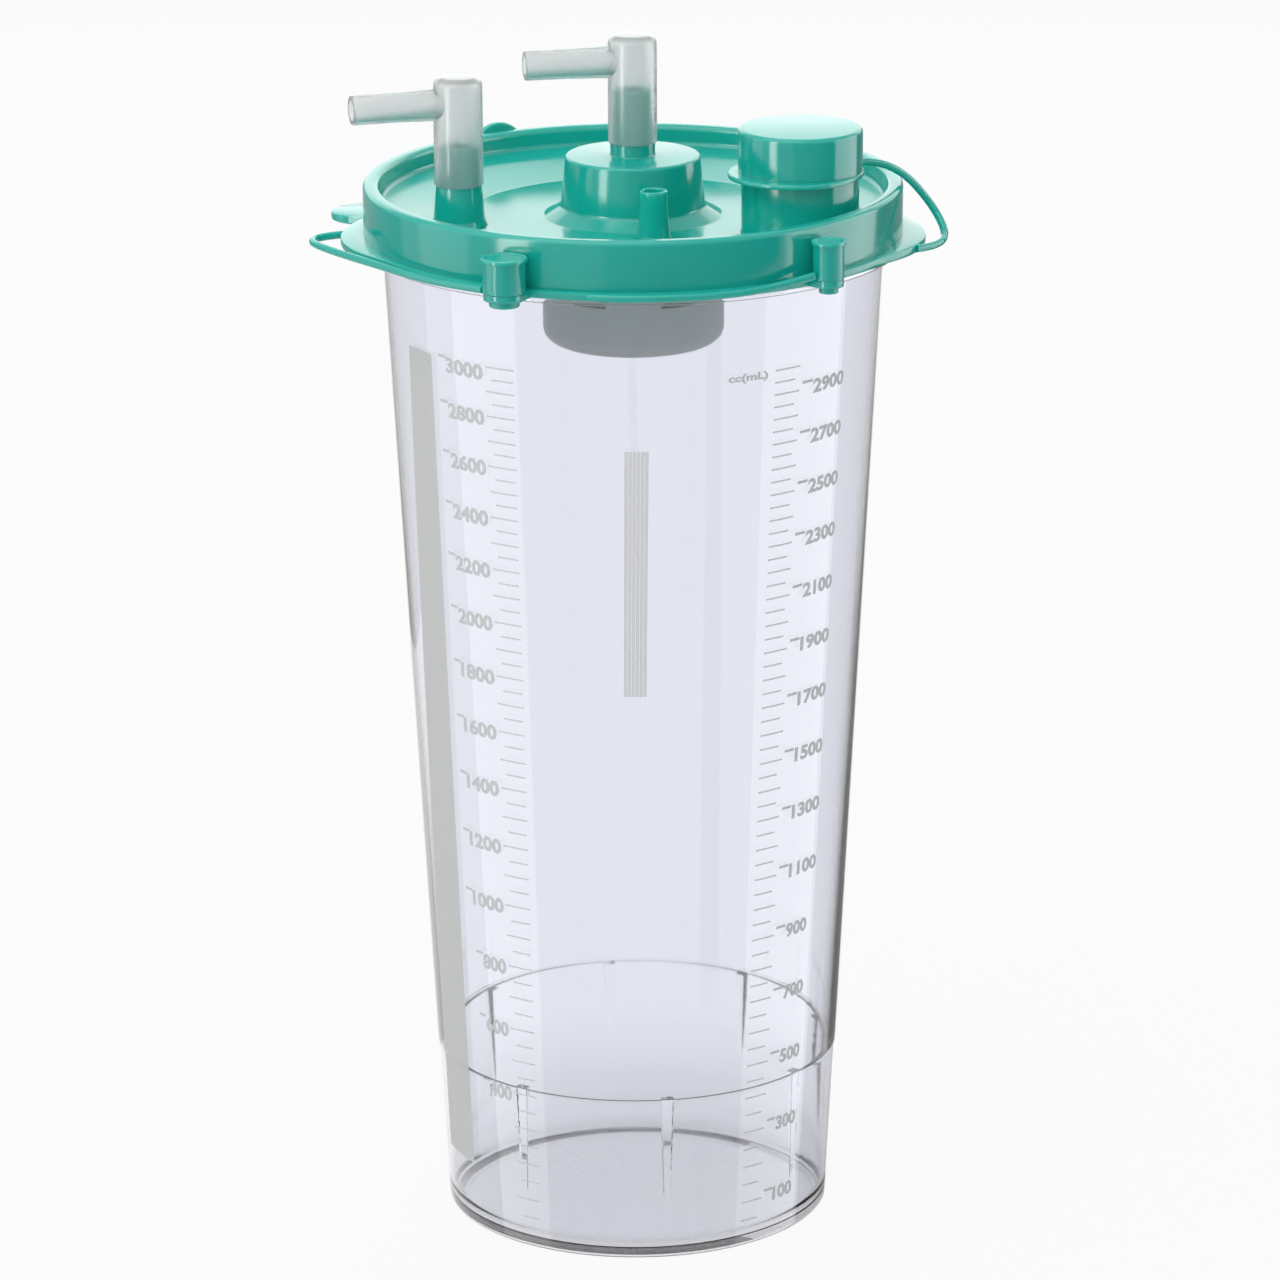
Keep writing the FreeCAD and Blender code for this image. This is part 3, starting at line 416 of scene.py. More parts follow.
# %% [markdown]
# ## Clear polystyrene
# The container is injection-moulded clear styrene, two millimetres thick. It is bright and
# brittle, bends light strongly (IOR 1.57) and has a faint violet-grey cast along its
# length. Long shallow flow waves from the mould make its reflections run unevenly, so a
# weak stretched noise goes into the bump.

# %% Clear polystyrene
clear_styrene, tree = new_material("clear_polystyrene_moulded")
place = add(tree, "ShaderNodeTexCoord")
stretch = add(tree, "ShaderNodeMapping", {"Vector": place.outputs["Object"],
                                          "Scale": (1, 1, 0.12)})
flow = grains(tree, stretch.outputs[0], 22, 2.0)
waves = add(tree, "ShaderNodeBump", {"Strength": 0.12, "Distance": 0.3 * MM,
                                     "Height": flow.outputs[0]})
haze = add(tree, "ShaderNodeMapRange", {"Value": flow.outputs[0], "To Min": 0.02, "To Max": 0.06})
body = add(tree, "ShaderNodeBsdfPrincipled", {
    "Base Color": paint("#F1F2F8"), "Roughness": haze.outputs[0], "IOR": 1.57,
    "Transmission Weight": 1.0, "Normal": waves.outputs[0]})
add(tree, "ShaderNodeOutputMaterial", {"Surface": body.outputs[0]})
print(clear_styrene.name, "has", len(tree.nodes), "nodes")

# %% [markdown]
# ## The container
# One closed profile goes from the middle of the base, up the outside, over the hanging lip
# and collar, and down the inside to the floor. Below the inner ledge, eight stacking ribs
# stand in from the wall and narrow downwards. They are part of the same grid: inside a rib's
# width the radius is the smaller of the wall's and the rib's own flat face.

# %% Container sizes
BASE_RADIUS, DRAFT, WALL, FOOT_WALL, FOOT_INSET = 55.5, 0.0532, 2.0, 2.7, 0.25
LEDGE, FLOOR, LIP_TOP, LIP_UNDER = 49.0, 2.0, 287.6, 285.8
RIB_COUNT, RIB_TURN, RIB_WIDTH, RIB_DEPTH = 8, -81.2, 3.7, 1.75
RIB_TIP, RIB_END = 1.4, 8.0


def outside(height):
    """Radius of the outer wall: the base radius plus the draft times the height."""
    return BASE_RADIUS + DRAFT * height - FOOT_INSET * (height < LEDGE)


def container_profile():
    """The closed section, with its step in at the ledge inside and outside."""
    ledge_inner = outside(LEDGE - 0.01) - FOOT_WALL
    return rounded([
        (0, 0, 0), (outside(0), 0, 1.5), (outside(LEDGE - 0.01), LEDGE, 0.15),
        (outside(LEDGE), LEDGE + 0.2, 0.1), (outside(LIP_UNDER), LIP_UNDER, 0.8),
        (76.3, LIP_UNDER, 0.7), (76.3, LIP_TOP, 0.4), (74.3, LIP_TOP, 0.4), (74.3, 301.0, 0.5),
        (72.8, 301.0, 0.5), (72.8, LIP_TOP, 0.4), (outside(LIP_TOP) - WALL, LIP_TOP, 0.8),
        (outside(LEDGE) - WALL, LEDGE, 0.2), (ledge_inner, LEDGE, 0.35),
        (outside(FLOOR) - FOOT_WALL, FLOOR, 5.0), (0, FLOOR, 0)], steps=7)


print("outer radius", round(outside(0), 2), "mm at the base and",
      round(outside(LIP_UNDER), 2), "mm under the lip")

# %% Rows of the section
OUTSIDE_POINTS, LEDGE_RADIUS = 20, 55.6
section = container_profile()
along = np.arange(len(section))
inside_start = np.argmax((section[:, 0] < LEDGE_RADIUS) & (section[:, 1] > LEDGE - 1)
                         & (along > OUTSIDE_POINTS))
floor_start = inside_start + np.argmax(section[inside_start:, 1] < LEDGE / 2)
RIB_ROWS = 24
share = np.linspace(0, 1, RIB_ROWS + 2)[1:-1, None]
between = section[floor_start - 1] * (1 - share) + section[floor_start] * share
section = np.vstack([section[:floor_start], between, section[floor_start:]])
is_inner = (np.arange(len(section)) >= inside_start) & (section[:, 1] <= LEDGE)
print(len(section), "rows,", is_inner.sum(), "of them where the ribs are")

# %% Container mesh
RIB_REACH, RIB_COLUMNS, ROUND_COLUMNS = 2.4, 41, 240
RIB_SOFTNESS, RIB_FADE = 0.3, 8
rib_face = outside(LEDGE - 0.01) - FOOT_WALL - RIB_DEPTH
rib_turns = RIB_TURN + 360 / RIB_COUNT * np.arange(RIB_COUNT)
near_rib = np.linspace(-RIB_REACH, RIB_REACH, RIB_COLUMNS)
evenly = np.linspace(-180, 180, ROUND_COLUMNS, endpoint=False)
gap_to_rib = np.abs((evenly[:, None] - rib_turns + 180) % 360 - 180).min(1)
turns = np.sort(np.concatenate([evenly[gap_to_rib > RIB_REACH + RIB_SOFTNESS],
                                ((rib_turns[:, None] + near_rib) + 180).ravel() % 360 - 180]))
off_rib = (turns[:, None] - rib_turns + 180) % 360 - 180
nearest = off_rib[np.arange(len(turns)), np.abs(off_rib).argmin(1)]
up = np.clip((section[:, 1:] - RIB_END) / (LEDGE - RIB_END), 0, 1)
half_rib = np.degrees((RIB_TIP + (RIB_WIDTH - RIB_TIP) * up) / 2 / rib_face)
edge = np.clip((half_rib - np.abs(nearest)) / RIB_SOFTNESS, 0, 1)
edge = edge * edge * (3 - 2 * edge) * np.clip(up * RIB_FADE, 0, 1) * is_inner[:, None]
face = rib_face / np.cos(np.radians(nearest))
wall_here = section[:, :1] + 0 * nearest
radius = wall_here - np.maximum(wall_here - face, 0) * edge
angle = np.radians(turns)
grid = np.stack([radius * np.cos(angle), radius * np.sin(angle), section[:, 1:] + 0 * angle], -1)
container = make("container_moulding", quads(grid), sharp=50)
finish_piece(container, clear_styrene, "container", ["canister"])

# %% [markdown]
# ## Teal polyethylene
# The lid, cap, plugs and straps are glossy low-density polyethylene, dyed teal. It is
# slightly soft and waxy: light enters a little way, so dark sides stay green and not black.
# The mould left a fine orange-peel, a few tenths of a millimetre across, and the colour
# varies a little where the melt cooled.

# %% Teal polyethylene
teal, tree = new_material("teal_polyethylene_moulded")
place = add(tree, "ShaderNodeTexCoord")
cloud = grains(tree, place.outputs["Object"], 16, 3.0)
shade = two_tone(tree, cloud.outputs[0], "#12B6A8", "#1EC2B4")
peel = grains(tree, place.outputs["Object"], 1.6, 1.0)
skin = add(tree, "ShaderNodeBump", {"Strength": 0.10, "Distance": 0.03 * MM,
                                    "Height": peel.outputs[0]})
gloss = add(tree, "ShaderNodeMapRange", {"Value": cloud.outputs[0], "To Min": 0.10,
                                         "To Max": 0.16})
body = add(tree, "ShaderNodeBsdfPrincipled", {
    "Base Color": shade.outputs[2], "Roughness": gloss.outputs[0], "IOR": 1.51,
    "Subsurface Weight": 0.45, "Subsurface Radius": (0.2, 1.0, 0.9), "Subsurface Scale": 3 * MM,
    "Normal": skin.outputs[0]})
add(tree, "ShaderNodeOutputMaterial", {"Surface": body.outputs[0]})
print(teal.name, "has", len(tree.nodes), "nodes")

# %% [markdown]
# ## The lid
# The lid is one moulding. Its middle is turned: rim channel, dished deck, flared tower and
# vacuum stub, with the collar under the deck that carries the float cage. The three bores
# are cut through the deck, and each port is a turned tube that stands over its bore. The
# flange is not round, so its outline is worked out as the outermost of several discs.

# %% Lid sizes
FLANGE_TOP, RIM_TOP, DECK, DECK_UNDER = 289.8, 303.7, 293.8, 292.0
RIM_OUTER, RIM_INNER, CHANNEL_OUTER, CHANNEL_INNER = 75.9, 71.2, 74.6, 72.5
TOWER_TOP, VACUUM_FOOT, VACUUM_TIP = 310.9, 314.5, 329.7
PATIENT, PATIENT_FOOT, PATIENT_TIP = (-48.5, -12.0), 305.3, 316.4
TANDEM, TANDEM_TOP = (5.7, -30.2), 307.5
SPOUT, NECK_TOP, MOUTH_TOP = (46.4, -22.0), 309.6, 321.4
print("the rim stands", round(RIM_TOP - DECK, 1), "mm above the deck's middle")

# %% Lid's turned middle
crown = make("crown", quads(turned(rounded([
    (CHANNEL_OUTER, LIP_TOP, 0.3), (RIM_OUTER, LIP_TOP, 0.2), (RIM_OUTER, RIM_TOP, 1.5),
    (RIM_INNER, RIM_TOP, 1.7), (RIM_INNER, 298.0, 1.6), (47.0, DECK, 9.0), (25.0, DECK, 1.6),
    (20.3, 296.7, 1.4), (18.9, TOWER_TOP, 0.9), (6.35, TOWER_TOP, 0.5), (6.35, VACUUM_FOOT, 0.2),
    (5.8, VACUUM_FOOT, 0.1), (5.55, VACUUM_TIP, 0.4), (3.4, VACUUM_TIP, 0.3),
    (3.4, TOWER_TOP - 1.6, 0.2), (17.3, TOWER_TOP - 1.6, 1.2), (18.7, DECK_UNDER, 0.4),
    (22.65, DECK_UNDER, 0.4), (22.65, 284.5, 0.3), (23.95, 284.5, 0.4), (23.95, DECK_UNDER, 0.5),
    (47.0, DECK_UNDER, 9.0), (RIM_INNER, 296.2, 0.5), (RIM_INNER, LIP_TOP, 0.4),
    (CHANNEL_INNER, LIP_TOP, 0.4), (CHANNEL_INNER, RIM_TOP - 1.7, 0.5),
    (CHANNEL_OUTER, RIM_TOP - 1.7, 0.5)], steps=7), around=256)))


def on_circle(distance, degrees):
    """A point at a distance from the axis in a direction."""
    return distance * np.cos(np.radians(degrees)), distance * np.sin(np.radians(degrees))


def plain_bar(centre, radius, low, high, around=64):
    """A closed round bar along Z, to cut or join with."""
    profile = np.array([(0, low), (radius, low), (radius, high), (0, high)], float)
    return make("bar", quads(turned(profile, around, centre)))


for centre, radius in ((PATIENT, 3.4), (TANDEM, 2.75), (SPOUT, 13.8)):
    combine(crown, plain_bar(centre, radius, 280, 330), "DIFFERENCE")
combine(crown, plain_bar(on_circle(69, 102.5), 0.9, 296.75, 300, 24), "DIFFERENCE")
print("the deck has three bores and a small pit near the back of the rim")


# %% Flange with ears, tabs and the plugs' parking discs
PLUG_LEFT, PLUG_RIGHT = on_circle(82.55, -115), on_circle(81.0, -49)


def outermost(turn, discs, melt=0.7):
    """Radius of the outline in each direction: for a disc of radius p at distance d, the ray
    leaves it at d cos a + sqrt(p^2 - d^2 sin^2 a). The largest counts, and where two are
    close the outline melts them together as melt * log(sum(exp(r / melt)))."""
    x, y, size = (column[:, None] for column in np.array(discs).T)
    along = x * np.cos(turn) + y * np.sin(turn)
    off = x * np.sin(turn) - y * np.cos(turn)
    inside = size ** 2 - off ** 2
    reach = np.where((inside > 0) & (along + size > 0), along + np.sqrt(np.maximum(inside, 0)), 0)
    top = reach.max(0)
    return top + melt * np.log(np.exp((reach - top) / melt).sum(0))


fine = np.radians(np.linspace(0, 360, 1080, endpoint=False))
outline = outermost(fine, [(0, 0, 78), (42, -7, 40), (-42, -7, 40), (*on_circle(80.5, 163), 9),
                           (*PLUG_LEFT, 5.75), (*PLUG_RIGHT, 4.2)])
FLANGE_ROOT = 75.2
rounded_edge = [(0.45, 0), (0.13, 0.13), (0, 0.45), (0, 1.75), (0.13, 2.07), (0.45, 2.2)]
rows = [(FLANGE_ROOT + 0 * fine, LIP_TOP)]
rows += [(outline - inset, LIP_TOP + rise) for inset, rise in rounded_edge]
rows += [(FLANGE_ROOT + 0 * fine, FLANGE_TOP)]
grid = np.stack([np.stack([radius * np.cos(fine), radius * np.sin(fine), height + 0 * fine], -1)
                 for radius, height in rows])
flange = make("flange", quads(grid))
print("flange out to", round(float(outline.max()), 1), "mm")
for centre, radius in ((PLUG_LEFT, 4.5), (PLUG_RIGHT, 3.0)):
    combine(flange, plain_bar(centre, radius, 286, 291, 40), "DIFFERENCE")


# %% Ports
def port(at, corners, around=96):
    """A closed turned ring that stands on the deck."""
    return quads(turned(rounded(corners, steps=5), around, at))


patient_stub = port(PATIENT, [
    (3.4, DECK_UNDER, 0.1), (8.6, DECK_UNDER, 0.1), (7.25, 295.6, 1.4), (6.35, PATIENT_FOOT, 0.2),
    (5.8, PATIENT_FOOT, 0.1), (5.55, PATIENT_TIP, 0.4), (3.4, PATIENT_TIP, 0.3)])
tandem_tube = port(TANDEM, [
    (2.75, DECK_UNDER, 0.1), (5.4, DECK_UNDER, 0.1), (4.6, 294.9, 1.2), (3.9, 302.5, 4.0),
    (3.9, TANDEM_TOP, 0.5), (2.75, TANDEM_TOP, 0.45)], 72)
spout_neck = port(SPOUT, [
    (13.8, DECK_UNDER, 0.1), (17.2, DECK_UNDER, 0.1), (16.4, 295.0, 1.2), (16.4, NECK_TOP, 0.5),
    (15.4, NECK_TOP, 0.2), (15.4, MOUTH_TOP, 0.5), (13.8, MOUTH_TOP, 0.5)], 160)
ports = make("ports", together(patient_stub, tandem_tube, spout_neck))
print("three ports,", len(ports.data.polygons), "faces")


# %% Upright thumb tab behind the rim
def upright_disc(distance, degrees, height, radius, thickness):
    """A rounded disc that stands on edge, its face along the direction from the axis."""
    flat = turned(rounded([(0, 0, 0), (radius, 0, 0.5), (radius, thickness, 0.5),
                           (0, thickness, 0)]), 64)
    turn = np.radians(degrees)
    out = np.array([np.cos(turn), np.sin(turn), 0])
    side = np.array([-np.sin(turn), np.cos(turn), 0])
    lifted = (flat[..., :1] * side + flat[..., 1:2] * np.array([0, 0, 1.0]) + flat[..., 2:] * out)
    return quads(lifted + out * distance + np.array([0, 0, height]))


lift_tab = make("lift_tab", upright_disc(RIM_OUTER - 0.65, 121, 297.5, 8.5, 2.25))
print("thumb tab", [round(x * 1000, 1) for x in lift_tab.dimensions], "mm")

# %% One lid
def joined(name, parts, sharp=40):
    """Several pieces' meshes as one piece."""
    work = bmesh.new()
    for part in parts:
        work.from_mesh(part.data)
    mesh = bpy.data.meshes.new(name)
    work.to_mesh(mesh)
    work.free()
    for part in parts:
        bpy.data.objects.remove(part)
    show_smooth(mesh, sharp)
    return place_in_scene(name, mesh)


crown = joined("lid_moulding", [crown, flange, ports, lift_tab])
finish_piece(crown, teal, "lid_group", ["lid"])

# %% [markdown]
# ## Milky polypropylene
# The elbows are natural polypropylene, a millimetre thick. It scatters light inside and
# lets it through at the same time, so the teal stub shows softly where it fills the
# socket. Rough transmission with a pale base gives the blur, and a little subsurface
# light keeps the thick crown white.

# %% Milky polypropylene
milky, tree = new_material("milky_polypropylene_moulded")
place = add(tree, "ShaderNodeTexCoord")
cloud = grains(tree, place.outputs["Object"], 9, 3.0)
shade = two_tone(tree, cloud.outputs[0], "#F2F6F6", "#FAFCFC")
body = add(tree, "ShaderNodeBsdfPrincipled", {
    "Base Color": shade.outputs[2], "Roughness": 0.22, "IOR": 1.49, "Transmission Weight": 0.80,
    "Subsurface Weight": 0.25, "Subsurface Radius": (1, 1, 1), "Subsurface Scale": 2 * MM})
add(tree, "ShaderNodeOutputMaterial", {"Surface": body.outputs[0]})
print(milky.name, "has", len(tree.nodes), "nodes")

# %% [markdown]
# ## The elbows
# Each elbow is a closed socket that turns on its stub, with a hose nozzle out of its side
# just below the crown. Two turned solids are joined, then the socket's and the nozzle's
# bores are cut away, and the whole is turned and set on its stub.

# %% Elbows
def lying(profile, around=64):
    """A turned profile whose axis lies along -X: (r, z) becomes (-z, r cos t, r sin t)."""
    grid = turned(profile, around)
    return np.stack([-grid[..., 2], grid[..., 0], grid[..., 1]], -1)


def elbow(name, node, body_name, at, foot, turn):
    """Socket and nozzle joined, both bores cut, and the elbow set on its stub."""
    nozzle_up = np.array([0, 0, 23.0])
    piece = make(name, quads(turned(rounded([
        (0, 0, 0), (6.9, 0, 0.35), (6.85, 30.6, 2.6), (0, 30.6, 0)], steps=9), 96)))
    nozzle = make("nozzle", quads(lying(rounded([
        (0, 0, 0), (4.45, 0, 0), (4.45, 7.5, 1.0), (4.15, 18.6, 3.0), (4.15, 30.6, 0.35),
        (0, 30.6, 0)])) + nozzle_up))
    combine(piece, nozzle, "UNION")
    combine(piece, make("bore", quads(turned(rounded([
        (0, -1, 0), (5.88, -1, 0), (5.88, 28.8, 1.8), (0, 28.8, 0)]), 96))), "DIFFERENCE")
    combine(piece, make("bore", quads(lying(np.array([
        (0, 0), (2.8, 0), (2.8, 31.0), (0, 31.0)], float)) + nozzle_up)), "DIFFERENCE")
    piece.data.transform(Matrix.Translation(Vector((*at, foot)) * MM)
                         @ Matrix.Rotation(np.radians(turn), 4, "Z"))
    return finish_piece(piece, milky, body_name, [node])


elbow("patient_elbow_moulding", "patient_elbow", "patient_connector", PATIENT, PATIENT_FOOT, 17.0)
elbow("vacuum_elbow_moulding", "vacuum_elbow", "vacuum_connector", (0, 0), VACUUM_FOOT, 11.0)

# %% [markdown]
# ## The spout cap
# A cup with a bead round its foot. The crescent thumb tab is a second disc, set off the
# axis and melted into the bead by the same outline function as the flange.

# %% Spout cap
CAP_FOOT, CAP_TOP, CAP_RADIUS = 309.95, 323.35, 17.35
cup = quads(turned(rounded([
    (0, CAP_TOP, 0), (CAP_RADIUS, CAP_TOP, 1.3), (CAP_RADIUS, CAP_FOOT + 1.4, 0.3),
    (CAP_RADIUS, CAP_FOOT, 0.2), (15.75, CAP_FOOT, 0.3), (15.75, CAP_TOP - 1.6, 0.8),
    (0, CAP_TOP - 1.6, 0)]), 192, SPOUT))
around = np.radians(np.linspace(0, 360, 360, endpoint=False))
bead_edge = outermost(around, [(0, 0, 17.9), (*(3.2 * np.array(on_circle(1, -125))), 18.4)], 0.25)
rows = [(15.9 + 0 * around, 0.05), (bead_edge - 0.5, 0.0), (bead_edge - 0.12, 0.18),
        (bead_edge, 0.6), (bead_edge - 0.1, 1.1), (bead_edge - 0.45, 1.4),
        (CAP_RADIUS - 0.6 + 0 * around, 1.4)]
grid = np.stack([np.stack([SPOUT[0] + r * np.cos(around), SPOUT[1] + r * np.sin(around),
                           CAP_FOOT + z + 0 * around], -1) for r, z in rows])
cap = make("spout_cap_moulding", together(cup, quads(grid)))
finish_piece(cap, teal, "pour_cap", ["spout_cap"])


# %% [markdown]
# ## The parked plugs
# Each plug closes a port when the canister is emptied. Until then it stands in a hole in
# the flange, with its grip upwards and its strap at its foot.

# %% Plugs
def plug(name, node, body_name, at, grip, height, stem):
    """Grip, barrel and stem as one turned profile."""
    top = FLANGE_TOP + height
    piece = make(name, quads(turned(rounded([
        (0, 285.8, 0), (stem, 285.8, 0.4), (stem, FLANGE_TOP, 0.1), (grip - 0.5, FLANGE_TOP, 0.2),
        (grip - 0.5, top - 1.1, 0.15), (grip, top - 1.1, 0.2), (grip, top, 0.35),
        (grip - 1.2, top, 0.3), (grip - 1.5, top - 0.35, 0.3), (0, top - 0.35, 0)]), 96, at)))
    return finish_piece(piece, teal, body_name, [node])


plug("wide_plug_moulding", "left_plug", "wide_plug", PLUG_LEFT, 6.35, 9.6, 4.2)
plug("narrow_plug_moulding", "right_plug", "narrow_plug", PLUG_RIGHT, 4.8, 10.6, 2.7)


# %% [markdown]
# ## The straps
# The cap and the plugs hang on straps moulded with the lid. Each is an oval carried along
# a smooth line. The line is made of parabolas, one for each inner route point, which start
# and end halfway to its neighbours, so it never has a corner.

# %% Straps
def smooth_line(route, steps=14):
    """Parabolas (1-u)^2 S + 2u(1-u) C + u^2 E between the middles of the route's runs."""
    route = np.array(route, float)
    middle = (route[1:] + route[:-1]) / 2
    start = np.vstack([route[:1], middle[1:-1]])[:, None]
    end = np.vstack([middle[1:-1], route[-1:]])[:, None]
    control = route[1:-1][:, None]
    u = np.linspace(0, 1, steps, endpoint=False)[None, :, None]
    line = ((1 - u) ** 2 * start + 2 * u * (1 - u) * control + u ** 2 * end).reshape(-1, 3)
    return np.vstack([line, route[-1:]])


def oval_tube(line, side_hint, across, thick, around=20):
    """An oval of half sizes across and thick carried along a line and closed at both ends.
    Its wide way lies as near to the hint as a right angle to the line allows."""
    ahead = np.gradient(line, axis=0)
    ahead /= np.linalg.norm(ahead, axis=1, keepdims=True)
    hint = np.array(side_hint, float)
    side = hint - ahead * (ahead @ hint)[:, None]
    side /= np.linalg.norm(side, axis=1, keepdims=True)
    other = np.cross(ahead, side)
    turn = np.linspace(0, 2 * np.pi, around, endpoint=False)[None, :, None]
    ring = across * np.cos(turn) * side[:, None] + thick * np.sin(turn) * other[:, None]
    tube = line[:, None] + ring
    first, last = (np.repeat(tube[[k]].mean(1, keepdims=True), around, 1) for k in (0, -1))
    return quads(np.vstack([first, tube, last]), close_rows=False)


LEVEL = 288.7
spout_route = [(61.66, -12.08, 310.65), (65.4, -9.6, 311.15), (75, -5, 307.35), (83.5, -1, 297.2),
               (88, -7.5, 289.7), (85.4, -17.5, 288.3), (78.8, -22.5, 288.7)]
strap = make("spout_strap_moulding", oval_tube(smooth_line(spout_route), (0, 1, 0.3), 1.0, 1.1))
finish_piece(strap, teal, None, ["spout_cap_strap"])
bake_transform(strap)

left_route = [(-81.6, -2, LEVEL), (-87, -4, LEVEL), (-90.6, -9.5, LEVEL), (-87.2, -17, LEVEL),
              *[(*on_circle(79.35 + out, t), LEVEL) for t, out in
                ((-160, 4.3), (-150, 0.8), (-140, 0.3), (-130, 0.3))],
              (*on_circle(82.55, -119.6), LEVEL + 1.05)]
strap = make("wide_plug_strap_moulding", oval_tube(smooth_line(left_route), (0, 0, 1), 1.1, 1.0))
finish_piece(strap, teal, None, ["left_plug_strap"])
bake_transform(strap)

right_route = [(*on_circle(78.0, -99), LEVEL),
               *[(*on_circle(79.35, t), LEVEL + rise) for t, rise in
                 ((-95, 0), (-84, 0), (-72, 0), (-61, 0.6))],
               (*on_circle(81.0, -52.6), LEVEL + 2.6)]
strap = make("narrow_plug_strap_moulding",
             oval_tube(smooth_line(right_route), (0, 0, 1), 1.1, 1.0))
finish_piece(strap, teal, None, ["right_plug_strap"])
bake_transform(strap)

# %% [markdown]
# ## The shut-off valve
# A grey cage hangs under the deck, and its lower half shows through the wall. Inside it a
# float rises against the seat when the canister is full. These pieces keep their packed
# shapes, which are right as they are. A weld and smooth shading take the facets off, and
# each gets the finish of its plastic.

# %% Finishes of the valve
def satin(name, colour, other, grain_mm, roughness, relief, softness=0.0):
    """A dull moulded plastic: two close colours in patches and a fine grain in the bump."""
    material, tree = new_material(name)
    place = add(tree, "ShaderNodeTexCoord")
    cloud = grains(tree, place.outputs["Object"], 12, 3.0)
    shade = two_tone(tree, cloud.outputs[0], colour, other)
    grain = grains(tree, place.outputs["Object"], grain_mm, 2.0)
    skin = add(tree, "ShaderNodeBump", {"Strength": relief, "Distance": 0.05 * MM,
                                        "Height": grain.outputs[0]})
    body = add(tree, "ShaderNodeBsdfPrincipled", {
        "Base Color": shade.outputs[2], "Roughness": roughness, "Normal": skin.outputs[0],
        "Subsurface Weight": softness, "Subsurface Scale": 1.5 * MM})
    add(tree, "ShaderNodeOutputMaterial", {"Surface": body.outputs[0]})
    return material


grey_cage = satin("grey_polyethylene_satin", "#A6B1AE", "#B1BBB8", 0.9, 0.5, 0.15)
white_float = satin("white_polypropylene_satin", "#E4E5E2", "#EDEEEB", 0.8, 0.4, 0.1, 0.1)
porous = satin("porous_polyethylene_sintered", "#E2E1DC", "#F0F0EC", 0.35, 0.9, 0.8)
silicone = satin("silicone_soft", "#BEBEBA", "#C8C8C4", 0.6, 0.55, 0.1, 0.2)
print("finishes:", ", ".join(finish.name for finish in (grey_cage, white_float, porous, silicone)))

# %% Valve pieces
for node, finish in (("float_cage", grey_cage), ("valve_seat", white_float),
                     ("shutoff_float", white_float), ("float_seal", silicone),
                     ("filter_disc", porous)):
    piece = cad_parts[node]
    piece.data.materials.clear()
    piece.data.materials.append(finish)
    weld = piece.modifiers.new("weld", "WELD")
    weld.merge_threshold = 1e-6
    piece.data.shade_smooth()
    split = piece.modifiers.new("crisp_edges", "EDGE_SPLIT")
    split.split_angle = np.radians(35)
    print(node, len(piece.data.polygons), "faces")

# %% [markdown]
# ## The print
# Grey ink is printed on the outside of the wall: two columns of marks every 50 millilitres,
# with the even hundreds at the left and the odd ones at the right, a strip to write on, and
# a striped bar in the middle. Each mark's height is worked out from its volume, by adding
# up the area of the container's inside. The left column is printed a little higher than
# the right one, as in the photograph.

# %% Inks
def flat_ink(name, colour, other):
    """Dull screen-printed ink whose cover varies a little from grain to grain."""
    material, tree = new_material(name)
    place = add(tree, "ShaderNodeTexCoord")
    speck = grains(tree, place.outputs["Object"], 0.6, 2.0)
    shade = two_tone(tree, speck.outputs[0], colour, other)
    body = add(tree, "ShaderNodeBsdfPrincipled", {"Base Color": shade.outputs[2],
                                                  "Roughness": 0.8})
    add(tree, "ShaderNodeOutputMaterial", {"Surface": body.outputs[0]})
    return material


number_ink = flat_ink("number_ink_printed", "#E0E2E5", "#E8EAEC")
mark_ink = flat_ink("mark_ink_printed", "#ECEEF0", "#F4F5F6")
strip_ink = flat_ink("strip_ink_printed", "#DCDEDD", "#E6E8E7")
bar_ink = flat_ink("bar_ink_printed", "#F0F2F6", "#F7F8FB")
print("inks: numbers, marks, strip and bar")

# %% Heights of the volumes
heights = np.linspace(FLOOR, LIP_UNDER, 6000)
inner = np.where(heights < LEDGE, outside(heights) - FOOT_WALL, outside(heights) - WALL)
slices = np.pi * inner ** 2
FLOOR_ROUNDING_LOSS = 4.0
layers = (slices[1:] + slices[:-1]) / 2 * np.diff(heights)
volumes = np.concatenate([[0], np.cumsum(layers)]) / 1000 - FLOOR_ROUNDING_LOSS


def mark_height(millilitres):
    """Height at which the container holds a volume."""
    return np.interp(millilitres, volumes, heights)


print("3000 ml at", round(float(mark_height(3000)), 1), "mm")
INK_LIFT = 0.04
LEAN, PRINT_TOP, LEAN_OVER = 1.5, 264, 190


def on_wall(turn, height):
    """A printed point: direction in degrees and height, just outside the wall. The print
    leans a little over its height, as the photograph shows."""
    lean = -LEAN * (PRINT_TOP - height) / LEAN_OVER
    where = np.radians(turn + lean)
    radius = outside(height) + INK_LIFT
    return np.stack([radius * np.cos(where), radius * np.sin(where), height + 0 * where], -1)


def patch(left, right, low, high, columns=6, rows=2):
    """A printed rectangle that follows the wall; its sides may lean."""
    up = np.linspace(0, 1, rows)[:, None]
    across = np.linspace(0, 1, columns)[None, :]
    left, right = (np.broadcast_to(np.array(side, float), 2) for side in (left, right))
    left_side = left[0] + (left[1] - left[0]) * up
    right_side = right[0] + (right[1] - right[0]) * up
    turn = left_side * (1 - across) + right_side * across
    return quads(on_wall(turn, low + (high - low) * up + 0 * across), False, False)


